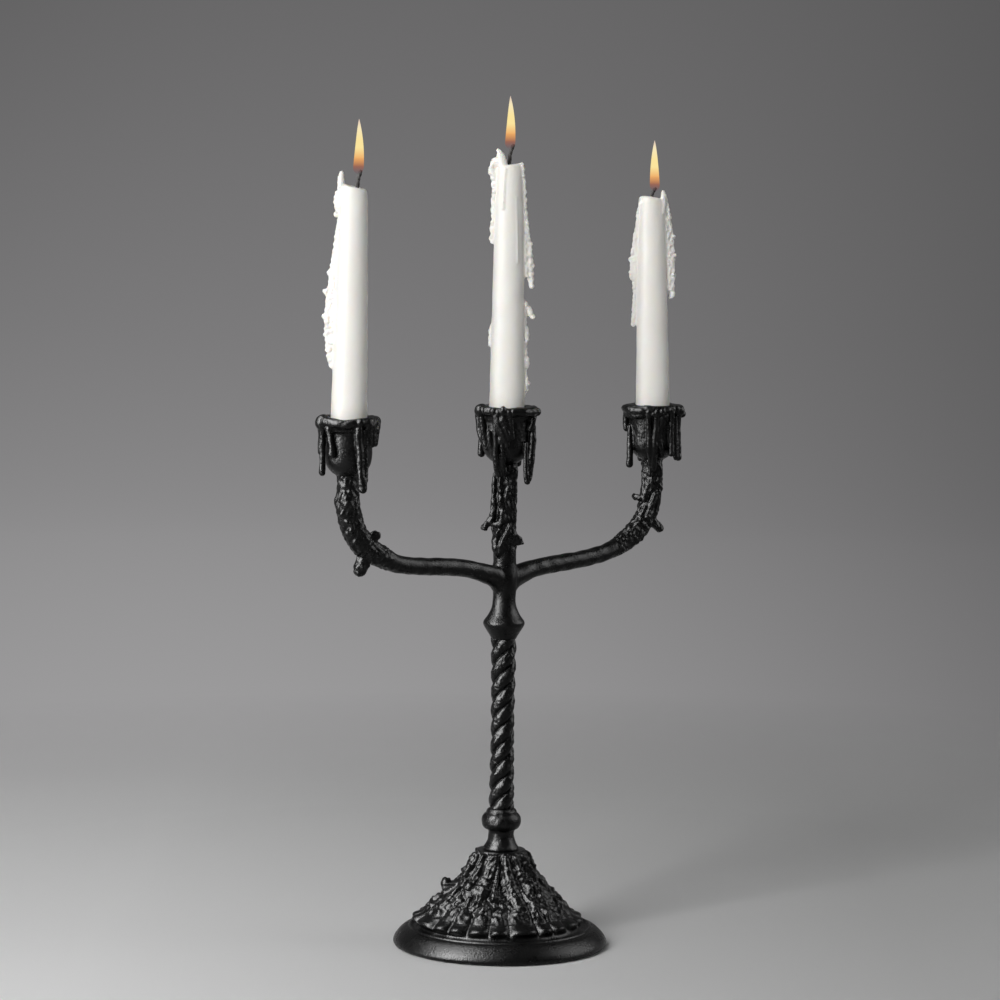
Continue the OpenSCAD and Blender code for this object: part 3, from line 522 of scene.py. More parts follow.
def lathe(line, place=(0, 0, 0), columns=72):
    """A closed turned body from radii and heights, from its bottom to its top."""
    line = np.asarray(line, float)
    return round_axis(line[:, :1], circle(columns), line[:, 1:]) + np.asarray(place, float)


def fuse(name, shells, voxel, rounds):
    """Melts closed shells into one skin: joins them, remeshes the union in small cubes and smooths it."""
    corners, quads, fans, count = [], [], [], 0
    for places, walls, caps in map(closed, shells):
        corners.append(places)
        quads.append(walls + count)
        fans.append(caps + count)
        count += len(places)
    piece = make_piece(name, np.concatenate(corners), np.concatenate(quads), np.concatenate(fans))
    melt = piece.modifiers.new("melt", "REMESH")
    melt.mode = "VOXEL"
    melt.voxel_size = voxel * MM
    melt.use_smooth_shade = True
    soften = piece.modifiers.new("soften", "SMOOTH")
    soften.factor = 0.5
    soften.iterations = rounds
    drawn = bpy.data.meshes.new_from_object(piece.evaluated_get(bpy.context.evaluated_depsgraph_get()))
    rough = piece.data
    piece.modifiers.clear()
    piece.data = drawn
    drawn.name = name
    bpy.data.meshes.remove(rough)
    return piece


def skin(piece):
    """The corners of a piece, in millimetres, and their normals."""
    found = []
    for kind in ("co", "normal"):
        values = np.empty(len(piece.data.vertices) * 3, np.float32)
        piece.data.vertices.foreach_get(kind, values)
        found.append(values.reshape(-1, 3).astype(float))
    return found[0] / MM, found[1]


def push_skin(piece, places, normals, height):
    """Moves a piece's corners along their normals by heights in millimetres."""
    moved = places + normals * height[:, None]
    piece.data.vertices.foreach_set("co", (moved * MM).astype(np.float32).ravel())
    piece.data.polygons.foreach_set("use_smooth", np.ones(len(piece.data.polygons), bool))
    piece.data.update()


class Waxed:
    """A body that carries wax. Its method at turns the first three numbers of a row into a place."""

    def run(self, rows, steps=8):
        """A run of wax: a smooth bar through rows of a place and a radius."""
        rows = np.asarray(rows, float)
        return tube(np.column_stack([self.at(*rows[:, :3].T), rows[:, 3]]), steps=steps)

    def lump(self, row):
        """A lump of wax: a place, a radius and, if it isn't round, its stretch along the three axes."""
        return ball(self.at(*row[:3]), *row[3:])

    def wax(self, table):
        """Shells for a table: a list of rows is a run, one row is a lump, and a ready shell stays."""
        kinds = {list: self.run, tuple: self.lump, np.ndarray: np.asarray}
        return [kinds[type(entry)](entry) for entry in table]


eye_way = round_axis(1.0, np.radians(FRONT), 0.0)
left_line = [(0, 224), (12, 227.2), (30.6, 232), (50, 234.2), (69.1, 235.6), (81.8, 237.4), (89.4, 239.9),
             (98.2, 244), (107, 249), (113.7, 255.2), (118.5, 264.1), (120.8, 274), (121, 283.6),
             (121, 292.5)]
right_line = [(0, 223), (10, 225.6), (22.6, 228.7), (38.1, 230.4), (57.8, 231.9), (71, 233.4),
              (84.3, 235.9), (95, 239.7), (105.5, 245.7), (112.9, 253), (118.2, 261.6), (120.6, 271.1),
              (121, 281.1), (121, 292.5)]


class Branch(Waxed):
    """An arm's centre line. A place on it is a share of its length, an angle round it from the side
    that faces the eye, and a distance from the line."""

    def __init__(self, line, side):
        line = np.asarray(line, float)
        fine = smooth_line(np.column_stack([side * line[:, 0], 0 * line[:, 0], line[:, 1]]), 600)
        length = np.concatenate([[0], np.cumsum(np.linalg.norm(np.diff(fine, axis=0), axis=1))])
        self.shares = length / length[-1]
        self.middle = fine
        self.along = unit(np.gradient(fine, axis=0))

    def at(self, share, angle=0.0, out=0.0):
        share = np.asarray(share, float)
        middle = np.stack([np.interp(share, self.shares, self.middle[:, k]) for k in range(3)], -1)
        along = unit(np.stack([np.interp(share, self.shares, self.along[:, k]) for k in range(3)], -1))
        front = unit(eye_way - (along @ eye_way)[..., None] * along)
        side = np.cross(along, front)
        turn = np.radians(np.asarray(angle, float))[..., None]
        return middle + np.asarray(out, float)[..., None] * (np.cos(turn) * front + np.sin(turn) * side)

    def stub(self, share, right_by, up_by, rows):
        """A stub of wax that stands out from the line: rows of a distance along it and a radius."""
        way = unit(picture_side * right_by + np.array([0, 0, up_by]))
        return tube([(*(self.at(share) + way * d), r) for d, r in rows], steps=6)

    def bar(self, shares, radii):
        """The arm itself: its radius at shares of its length."""
        steps = np.linspace(shares[0], shares[-1], 90)
        return tube(np.column_stack([self.at(steps), np.interp(steps, shares, radii)]), sides=32, steps=2)


left_arm = Branch(left_line, -1)
right_arm = Branch(right_line, 1)
hub_line = np.vstack([
    smooth_line([(7.6, twist_high), (8.3, 189.2), (10.4, 192.6), (12.1, 195.4), (12.65, 197),
                 (12.3, 198.4)], 20),
    smooth_line([(11.6, 199.4), (9.7, 202.0), (8.2, 204.9), (7.3, 208.0), (6.9, 212.0), (7.0, 216.0),
                 (7.6, 220.5), (7.9, 225.0), (7.6, 229.0), (7.2, 233.0)], 36),
])
branch_parts = [
    lathe(hub_line),
    lathe([(7.1, 226.0), (6.9, 240.0), (6.6, 255.0), (6.7, 272.0), (6.9, 293.9)]),
    left_arm.bar([0, 0.05, 0.16, 0.5, 0.56, 0.62, 0.70, 0.80, 0.90, 0.925, 0.945, 1.0],
                 [6.6, 6.4, 5.3, 5.2, 5.6, 6.6, 7.0, 7.2, 7.1, 6.8, 6.6, 6.6]),
    right_arm.bar([0, 0.05, 0.16, 0.5, 0.56, 0.62, 0.70, 0.78, 0.86, 0.93, 1.0],
                  [6.6, 6.4, 5.3, 5.2, 5.4, 6.2, 6.3, 6.2, 6.3, 6.6, 6.5]),
    # Webs that fill the crotches between the arms, the waist and the post
    tube([(-13, 0, 226.0, 4.4), (-6, 0, 222.5, 5.4), (0, 0, 217.5, 6.4)]),
    tube([(13, 0, 224.4, 4.4), (6, 0, 221.5, 5.4), (0, 0, 217.0, 6.4)]),
]
# Wax on the left arm's bend and neck, from the neck down
branch_parts += left_arm.wax([
    [(0.935, -20, 3.4, 3.4), (0.915, -5, 4, 4.2), (0.885, 4, 4.3, 4.3)],
    [(0.925, -70, 4.4, 2.6), (0.9, -78, 5, 3), (0.862, -76, 4.6, 2.8), (0.82, -70, 4.2, 2.6)],
    (0.862, -24, 5.2, 3.3, (1.25, 1.2, 0.85)),
    [(0.836, -34, 6, 1.2), (0.838, -14, 6.9, 1.2), (0.826, 2, 7, 1.3), (0.812, 4, 6.8, 1.5)],
    (0.808, -6, 5.4, 2.9),
    [(0.82, -48, 5, 2.2), (0.79, -46, 5.3, 2), (0.762, -30, 5.8, 1.9)],
    (0.764, -14, 5.8, 2.3, (1, 1, 0.9)),
    [(0.772, -42, 5.8, 1.6), (0.75, -46, 6, 1.7), (0.735, -44, 5.6, 1.6)],
    (0.734, -26, 6.1, 1.5),
    [(0.722, -6, 5.4, 2), (0.708, 6, 5.6, 2.4), (0.69, 22, 5.2, 2.2)],
    (0.702, -44, 5.6, 2),
    [(0.745, -74, 5.6, 1.6), (0.715, -80, 5.4, 1.8), (0.69, -84, 5, 1.8)],
    [(0.9, 38, 3.9, 3.6), (0.84, 46, 3.8, 3.6), (0.78, 46, 3.8, 3.7), (0.735, 40, 3.6, 3.8)],
    [(0.672, 10, 4.4, 3), (0.65, 30, 4.6, 3.2), (0.628, 44, 4, 2.8)],
    [(0.655, -14, 4.2, 2.8), (0.628, -20, 4.3, 2.8), (0.596, -34, 3.6, 2.6)],
    (0.642, -62, 3.6, 3), (0.604, 40, 2.6, 3),
    # Behind
    [(0.92, 150, 4, 3.4), (0.88, 165, 4.6, 3.2), (0.83, 175, 4.9, 2.8)],
    (0.8, 150, 5.4, 2.8),
    [(0.86, -130, 4.9, 2.6), (0.8, -140, 5.2, 2.4), (0.74, -150, 5, 2.6)],
    (0.755, 178, 5.3, 2.8), (0.715, 145, 5, 2.6), (0.675, -150, 4.6, 2.8), (0.64, 160, 4.2, 2.8),
    # Its two stubs: one up and inwards, one down
    left_arm.stub(0.716, 0.80, 0.585, [(2.0, 3.6), (6.0, 3.45), (8.6, 3.35)]),
    left_arm.stub(0.690, -0.34, -0.94, [(2.0, 4.4), (8.0, 4.2), (13.4, 4.1)]),
])
# Wax on the right arm's bend and neck, from the neck down
branch_parts += right_arm.wax([
    [(1, -58, 5, 2), (0.95, -58, 5.2, 2), (0.9, -56, 5.4, 2.1), (0.862, -48, 5.6, 2.3),
     (0.838, -34, 6, 2.5)],
    [(0.838, -40, 5.8, 2.2), (0.834, -66, 7.8, 2.1), (0.838, -88, 10.4, 1.75)],
    [(0.985, 30, 4.6, 2.2), (0.955, 46, 5.6, 2.4), (0.93, 50, 5.4, 2.2)],
    [(0.925, 44, 4.4, 2.9), (0.885, 46, 4.6, 2.9), (0.855, 48, 4.6, 2.8), (0.81, 62, 4.4, 2.8),
     (0.775, 74, 4.2, 2.8)],
    [(0.95, -2, 5, 1.6), (0.925, 2, 5.2, 1.5), (0.905, 8, 5.4, 1.3), (0.892, 20, 5.6, 1.2)],
    [(0.862, 24, 6.4, 1.5), (0.835, 18, 6.6, 1.4), (0.806, 8, 6.6, 1.8)],
    [(0.8, -58, 5.4, 1.3), (0.776, -52, 6, 1.3), (0.752, -40, 6, 1.3)],
    [(0.8, -24, 6, 1.3), (0.772, -22, 6.3, 1.4), (0.748, -30, 6, 1.4)],
    [(0.79, 4, 5.8, 1.5), (0.764, 14, 6.2, 1.9)],
    [(0.712, -40, 5.6, 1.2), (0.69, -56, 5.6, 1.3), (0.664, -46, 5.8, 1.4), (0.668, -24, 6.2, 1.3),
     (0.7, -22, 6.2, 1.2)],
    (0.718, -8, 5.4, 2.3, (1.1, 1, 0.9)), (0.716, 34, 5.2, 2.2), (0.652, -12, 5.2, 2.2, (1.1, 1, 0.9)),
    (0.68, 28, 4.6, 3),
    [(0.745, 62, 4.8, 2.4), (0.7, 66, 4.8, 2.6), (0.655, 60, 4.4, 2.6), (0.62, 72, 4.2, 2.3)],
    [(0.635, 14, 3.6, 2.4), (0.6, 24, 3.2, 2.5), (0.565, 30, 2.4, 2.5)],
    (0.608, 84, 4, 2.4),
    # Behind
    [(0.97, 160, 4.6, 2.8), (0.92, 150, 4.6, 2.6), (0.86, 145, 4.6, 2.6)],
    [(0.95, -120, 4.6, 2.6), (0.88, -125, 4.8, 2.6), (0.8, -120, 4.8, 2.6)],
    (0.83, 170, 4.8, 2.8), (0.765, 150, 4.8, 2.8), (0.72, -160, 4.8, 2.6), (0.66, 150, 4.4, 2.7),
    (0.69, -110, 4.6, 2.5),
    right_arm.stub(0.775, 0.74, -0.68, [(3.0, 3.2), (8.0, 2.9), (12.2, 2.9)]),
])


class Post(Waxed):
    """The centre post. A place by it is a distance to the right as seen from the front, a distance
    towards the eye, and a height."""

    def at(self, side, depth, z):
        return np.array([0, 0, 1]) * z[:, None] + picture_side * side[:, None] + eye_way * depth[:, None]


branch_parts += Post().wax([
    [(-6.9, 3.4, 287, 1.5), (-7, 3.6, 280, 1.7), (-7, 3.8, 271, 1.9), (-7.2, 3.8, 264.5, 2),
     (-8.3, 3.8, 260.4, 2.1), (-10.6, 3.8, 257.4, 2.3), (-12.4, 3.8, 255.2, 2.5)],
    [(-3.4, 5.6, 291, 1.8), (-3.2, 6, 284, 1.5), (-3, 6.2, 277.5, 1.9)],
    [(-2.6, 6.2, 273.4, 2), (-2.4, 6.4, 270.4, 2.3), (-2, 6.3, 267.4, 1.7), (-1.8, 6.3, 264, 2.2),
     (-2, 6.3, 260, 2.3), (-3.6, 6, 257.2, 2), (-7.2, 4.6, 257.4, 2)],
    [(-2.2, 5.8, 254.4, 1.6), (-3.6, 6, 252.4, 2), (-4.6, 5.4, 250.2, 1.7)],
    [(-4.4, 4, 250, 2.6), (-4.9, 4.4, 244.5, 3.2), (-4.2, 5, 239.8, 2.6)],
    [(2.6, 6.4, 257, 1.2), (1.2, 6.8, 252.5, 1.3), (-1, 6.9, 248, 1.3), (-2.6, 6.8, 243, 1.4),
     (-3.2, 6.4, 240, 1.6)],
    [(1, 6, 289, 1.5), (1.4, 6.4, 281, 1.2), (0.6, 6.5, 274, 1.5), (1, 6.3, 268, 1.3)],
    [(4.8, 3.4, 290, 2.4), (5, 3.6, 282, 1.8), (4.8, 3.8, 270, 1.7), (4.8, 3.8, 259, 1.8)],
    # The pointed fin
    [(4.4, 3.6, 253, 1.8), (6.6, 3.2, 249.2, 2.4), (8.8, 2.8, 246.9, 2.2), (10.6, 2.6, 245.9, 1.2)],
    [(3.4, 4, 249, 2.8), (6.6, 3.2, 246.6, 2.2), (9.6, 2.8, 245.9, 1.3)],
    # Behind
    [(5, -3.6, 289, 2.2), (5.2, -3.6, 276, 1.8), (4.8, -4.2, 262, 1.9), (4.4, -4.4, 252, 2.3)],
    [(-3.4, -5.2, 289, 2.2), (-3.8, -5.2, 278, 1.8), (-3.2, -5.6, 266, 2.3)],
    [(0.6, -6.2, 262, 2), (0.2, -6.2, 250, 1.8), (0.4, -6, 242, 2.4)],
    [(-6.2, -1.4, 270, 1.8), (-6.4, -1.6, 258, 2.2), (-6, -2, 248, 1.8), (-5.8, -2, 242, 2.2)],
])
branches = fuse("branch_casting", branch_parts, voxel=0.53, rounds=5)
places, normals = skin(branches)
off_axis = np.abs(places[:, 0])
waxy = np.maximum(fade(off_axis, 84, 96), fade(places[:, 2], 238, 246) * (off_axis < 30))
grain = 0.10 * ripple(places, 9.0, 41) + waxy * 0.20 * ripple(places, 3.4, 42)
push_skin(branches, places, normals, fade(places[:, 2], 200, 206) * grain)
branches.data.materials.append(cast_black)
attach(branches, "stand")
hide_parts("branch_hub", "arm_left", "arm_right", "centre_post")

# Tie rod and cup screws
# Zinc-plated steel: a rod with a nut and washers holds foot, collar, twist and hub together, and
# a screw with a washer holds each cup.
zinc, place = new_material("zinc_plated_steel")
place.shade({
    "Base Color": place.noise(3.0, 3.0).tint((0.50, 0.50, 0.52, 1), (0.62, 0.62, 0.60, 1)),
    "Metallic": 1.0,
    "Roughness": 0.28 + 0.2 * place.noise(1.2, 4.0),
    "Normal": place.noise(0.5, 3.0).bump(0.6, 0.05),
})
for fixing in ("tie_rod", "tie_nut", "lock_washer", "flat_washer", "cup_screws", "cup_washers"):
    redress(fixing, zinc)

# Cups
# Three iron cups, cast as if wax had run over their rims: a round bowl with a thick rolled rim, a
# straight socket for the candle, and drips that hang from lumps on the rim. Black satin lacquer.
socket_r = 12.0
socket_floor = 12.6
recess_r = 4.6
cup_tall = 34.6
neck_r = 6.9
side_out = 121.0
side_cup_z = 291.4


class Cup(Waxed):
    """One cup. A place on it is an angle from the front, a distance from its axis and a height
    below its rim."""

    def __init__(self, side, x, low):
        self.node = "cup_" + side
        self.axis = np.array([x, 0.0, low])

    def at(self, angle, out, below):
        way = np.radians(FRONT + np.asarray(angle, float))
        return self.axis + round_axis(out, way, cup_tall - np.asarray(below, float))

    def bowl(self, belly=1.0, dip=0.0):
        """The turned bowl, with a leaner belly and a rim that dips a little at the front."""
        line = np.vstack([
            smooth_line([(neck_r, 0), (7.6, 0.7), (9.6, 1.9), (12.2, 4.2), (14, 7.2), (14.8, 11), (14.9, 16),
                         (15.1, 23), (15.6, 27), (16.6, 29.2)], 40),
            smooth_line([(17.7, 29.7), (18.6, 30.6), (18.9, 32.0), (18.6, 33.4), (17.8, 34.3), (16.6, 34.6),
                         (14.6, 34.5), (12.4, 34.2)], 22),
        ])
        line[:, 0] = neck_r + (line[:, 0] - neck_r) * (1 - (1 - belly) * (line[:, 1] < 26))
        shape = lathe(line, (0, 0, 0), 96)
        way = np.degrees(np.arctan2(shape[..., 1], shape[..., 0])) - FRONT
        shape[..., 2] -= dip * hump(way_round(way, -6), 0, 26) * fade(line[:, 1:], 24, 30)
        return shape + self.axis

    def cast(self, seed, parts):
        """Fuses the cup, makes it a little lumpy, and clears its socket and the recess below it."""
        name = self.node + "_casting"
        cup = fuse(name, self.wax(parts), voxel=0.36, rounds=6)
        places, normals = skin(cup)
        outside = fade(np.hypot(*(places - self.axis).T[:2]), socket_r + 1, socket_r + 3)
        grain = 0.09 * ripple(places, 7.0, seed) + 0.05 * ripple(places, 2.8, seed + 1)
        push_skin(cup, places, normals, outside * grain)
        cutters = []
        for radius, low, high, columns in ((socket_r, socket_floor, cup_tall + 12, 96),
                                           (recess_r, socket_floor - 6, socket_floor + 2, 48)):
            line = [(0.5, low), (radius, low), (radius, high), (0.5, high)]
            cutters.append(make_piece(name + "_hole", *closed(lathe(line, self.axis, columns))))
            cut = cup.modifiers.new("socket", "BOOLEAN")
            cut.operation = "DIFFERENCE"
            cut.solver = "EXACT"
            cut.object = cutters[-1]
        drawn = bpy.data.meshes.new_from_object(cup.evaluated_get(bpy.context.evaluated_depsgraph_get()))
        cup.modifiers.clear()
        cup.data = drawn
        for cutter in cutters:
            bpy.data.objects.remove(cutter)
        cup.data.materials.clear()
        cup.data.materials.append(cast_black)
        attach(cup, "stand")
        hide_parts(self.node)


left = Cup("left", -side_out, side_cup_z)
left.cast(51, [
    left.bowl(0.87, 1.2),
    # The round lump and the double drip at the left
    (-60, 16.5, 3.3, 4.9),
    [(-58, 16.4, 4, 3.4), (-61, 16.6, 9.5, 2.2), (-61, 16.6, 18, 1.75), (-61, 16.7, 27, 1.8),
     (-61, 16.7, 32.4, 2)],
    [(-43, 16, 6.5, 2.2), (-39, 15.8, 12, 1.9), (-34, 15.6, 18, 2), (-33, 15.8, 21.4, 2.4)],
    # The lump that heads the long double drip, its common bulb, and the curtain beside it
    (25, 17.4, 2.6, 2.7),
    [(23, 16.6, 6, 2.3), (24, 16.2, 13, 2.4), (27, 16.4, 22, 2.3), (28, 16.8, 32, 2.1),
     (30, 17.2, 38, 2.3)],
    [(38, 16.4, 8, 1.9), (39, 16.3, 18, 1.7), (39, 16.6, 28, 1.7), (37, 17, 36, 1.9)],
    [(32, 17, 35.5, 2.3), (32, 17.2, 41, 2.7)],
    [(44, 17, 3, 2.8), (46, 16.6, 9, 2.4), (48, 16.2, 15, 2.3)],
    [(58, 17, 3, 2.8), (58, 16.8, 9, 2.4), (58, 16.6, 15.2, 2.1)],
    [(73, 16.6, 3, 2.7), (72, 16.6, 9, 2.3), (70, 16.4, 15, 2.2)],
    [(88, 16.2, 3.2, 2.6), (86, 15.9, 9, 2.2), (84, 15.6, 13.4, 2)],
    (52, 17.6, 4.2, 2.4), (66, 18.2, 6.8, 1.6),
    # Behind
    (130, 16.8, 2.8, 3.1),
    [(130, 16.6, 5, 2.6), (133, 15.4, 14, 1.9), (136, 14.8, 24.6, 2.2)],
    (160, 16.8, 2.8, 3.3),
    [(160, 16.6, 5, 2.7), (162, 16.2, 18, 1.9), (163, 16.6, 33.6, 2.3)],
    [(176, 16.4, 4, 2.2), (177, 15.8, 12, 1.8), (178, 15.8, 17, 2.1)],
    (-138, 16.8, 2.8, 3),
    [(-138, 16.6, 5, 2.7), (-137, 16, 12, 2.2), (-136, 16, 19, 2.6)],
    [(-100, 17, 3.4, 2.5), (-101, 16.4, 10, 1.9), (-102, 16.2, 21, 2.2)],
])

middle = Cup("middle", 0.0, 294.0)
middle.cast(61, [
    middle.bowl(0.94, 0.5),
    (-64, 16.8, 2.6, 4.5, (1, 1, 0.95)),
    [(-80, 16.8, 5, 2.5), (-80, 16.2, 12, 2.3), (-76, 15.4, 18, 2.2), (-66, 13.9, 22.6, 2.1),
     (-60, 13.2, 25, 1.9)],
    [(-62, 16.4, 7, 2.5), (-62, 15.4, 14, 2.4), (-61, 14.6, 20, 2.3), (-56, 13.6, 25, 2)],
    [(-44, 15, 16, 1.8), (-40, 14, 23, 2), (-36, 11.6, 30, 2), (-38, 9.4, 35, 1.8)],
    # The long bright drip, the darker one beside it, and the crumpled wax above them
    [(-23, 16.6, 8, 1.9), (-23, 16.2, 18, 1.8), (-24, 15.4, 28, 1.9), (-24, 13.6, 36, 2.1),
     (-20, 12, 40.6, 2.1)],
    [(-9, 15.8, 18, 1.5), (-8, 15, 27, 1.6), (-9, 12.6, 34, 1.7), (-8, 10.6, 40, 1.6)],
    [(-22, 15.9, 5, 3), (-16, 15.9, 11, 3), (-8, 15.6, 16, 2.8), (-2, 15, 20, 2.4)],
    [(-6, 16, 5, 2.8), (-1, 15.8, 10, 2.6), (4, 15.4, 15, 2.4)],
    (-27, 17.4, 2.6, 2.4), (-16, 17.8, 3.2, 1.7), (-7, 17.6, 1.9, 2.2, (1, 1, 1.3)),
    [(-8, 17.8, 2, 1.6), (-7, 17.6, 5, 1.3), (-9, 17.2, 8, 1.8)],
    (-7, 16.8, 9.6, 1.9),
    [(-18, 16.6, 12, 1.3), (-12, 17, 14.6, 1.3), (-4, 17, 13, 1.5), (3, 16.8, 16, 1.6), (6, 16.2, 19, 1.5)],
    [(-4, 16.8, 12, 1.3), (-10, 16.4, 17, 1.4), (-14, 15.8, 21, 1.6)],
    [(5, 17.6, 3, 1.8), (8, 16.8, 8, 1.7), (10, 16.2, 13, 1.6), (12, 15.8, 18, 1.8)],
    [(-1, 16.2, 16, 1.3), (2, 15.8, 20, 1.5), (1, 15.2, 23.6, 1.5)],
    # The smooth rim, its corner ball and the tapering double drip at the right
    middle.run([(14, 17.6, 3, 2.5), (34, 17.8, 2.9, 2.6), (56, 18, 2.8, 2.6),
                (76, 18.2, 2.6, 2.5)], steps=10),
    (78, 18.6, 3.2, 2.6),
    [(66, 17.6, 7, 1.8), (64, 17, 10.6, 1.9), (60, 16.4, 13.6, 1.5)],
    [(70, 16.8, 12, 2.1), (66, 17.2, 20, 2.2), (60, 17.4, 30, 2.2), (55, 17.6, 39, 2), (52, 17.6, 43, 2)],
    [(50, 15.6, 22, 1.4), (47, 16, 31, 1.5), (46, 16.8, 39, 1.6), (48, 17.3, 44.8, 1.9)],
    # Behind
    (108, 16.8, 2.8, 3),
    [(108, 16.6, 5, 2.6), (109, 16, 15, 1.9), (110, 16, 24.6, 2.2)],
    (152, 16.8, 2.8, 3.3),
    [(152, 16.6, 5, 2.8), (153, 16.2, 20, 1.9), (154, 16.6, 35.6, 2.2)],
    [(170, 16.6, 4, 2.2), (171, 15.8, 13, 1.8), (172, 15.8, 19, 2.1)],
    (-147, 16.8, 2.8, 3.2),
    [(-147, 16.6, 5, 2.7), (-148, 16, 12, 2.2), (-148, 16, 21, 2.6)],
    [(-113, 16.8, 3.4, 2.6), (-114, 16.2, 14, 1.9), (-114, 16.4, 29.6, 2.2)],
])

right = Cup("right", side_out, side_cup_z)
right.cast(71, [
    right.bowl(),
    # The smooth high rim band at the left, cut off by a groove
    right.run([(-88, 17.6, 2.6, 2.5), (-64, 17.6, 3, 2.6), (-42, 17.4, 3.2, 2.6),
               (-24, 17.2, 3.2, 2.5)], steps=10),
    right.run([(-84, 17, 6, 2.2), (-62, 16.8, 6.2, 2.3), (-40, 16.6, 6.2, 2.2),
               (-26, 16.4, 6, 2)], steps=10),
    [(-78, 17.4, 7.5, 1.9), (-78, 17.4, 12, 1.9), (-78, 17.2, 15.2, 1.9)],
    [(-68, 15.6, 14, 1.4), (-66, 15.8, 22, 1.9), (-63, 16.2, 32, 2.1), (-62, 16.4, 37.2, 2.3)],
    # The two runs at the front, one of which ends in a rod on the neck
    [(-12, 17, 4, 2.3), (-12, 16.6, 9, 1.9), (-11, 16, 17, 1.9), (-10, 15.4, 26, 2.1), (-9, 11.4, 33, 1.5),
     (-11, 9.4, 38, 1.4), (-11, 9.2, 43.6, 1.4)],
    [(5, 17.2, 3.4, 2.2), (5, 16.8, 9, 2), (4, 16, 16, 1.8), (2, 15.2, 26, 2), (2, 11.6, 33, 2),
     (2, 8.6, 40, 1.9)],
    (-2, 17.2, 5.2, 1.9), (16, 17.8, 3.6, 2.3), (28, 17.8, 2.6, 1.9), (26, 17.4, 6.4, 1.6),
    [(18, 16.8, 7, 1.4), (16, 16.2, 12, 1.3), (12, 15.6, 17, 1.5), (9, 15, 22, 1.7)],
    [(12, 14.6, 20, 1.8), (20, 13.8, 27, 1.9), (26, 12.4, 31, 1.8)],
    # The square lump at the right and the two drips below it
    (62, 18, 3.4, 3.5, (1, 1, 0.95)), (52, 17.4, 2.4, 2.6), (76, 18.4, 5.6, 2.4),
    [(40, 16.8, 4, 2.2), (41, 16.4, 12, 1.6), (41, 16.6, 22, 1.6), (42, 16.8, 30, 1.8)],
    [(60, 17.4, 7, 2.2), (62, 17.2, 14, 1.8), (63, 17.4, 24, 1.9), (63, 17.6, 32.4, 2.2)],
    [(52, 16.6, 8, 1.7), (53, 16.6, 16, 1.8), (54, 16.8, 26, 1.9), (56, 17.1, 32.6, 1.6)],
    # Behind
    (108, 16.8, 2.8, 3),
    [(110, 16.4, 5, 2.5), (114, 15.6, 12, 1.9), (118, 15.4, 21.6, 2.2)],
    (140, 16.8, 2.8, 3.2),
    [(140, 16.6, 5, 2.7), (139, 16, 13, 2.2), (139, 16, 22, 2.6)],
    [(168, 16.8, 3.4, 2.4), (168, 16.2, 14, 1.8), (168, 16.2, 27.6, 2.1)],
    (-157, 16.8, 2.8, 3),
    [(-157, 16.6, 5, 2.6), (-157, 16.2, 20, 1.8), (-157, 16.4, 34.6, 2.2)],
    [(-122, 17, 3.2, 2.5), (-122, 16.4, 9, 1.9), (-122, 16.2, 17, 2.2)],
])

# Candles
# Three plain white tapers, burnt a little way down. Melted wax has spilled over their tips and set
# in sheets, runs and beads, most of it on the side away from the draught.
candle_r = 11.0
tip_r = 8.2
foot_gap = 0.3
lean_way = round_axis(1.0, np.radians(-41), 0.0)

wax, place = new_material("candle_wax")
place.shade({
    "Base Color": place.noise(14.0, 3.0).tint((0.90, 0.875, 0.82, 1), (0.93, 0.91, 0.865, 1)),
    "Roughness": 0.42 + 0.16 * place.noise(5.0, 3.0),
    "Subsurface Weight": 0.35,
    "Subsurface Radius": (1.0, 0.75, 0.5),
    "Subsurface Scale": 2.5 * MM,
    "IOR": 1.43,
    "Specular IOR Level": 0.22,
    "Normal": place.noise(2.6, 3.0).bump(0.6, 0.12),
})


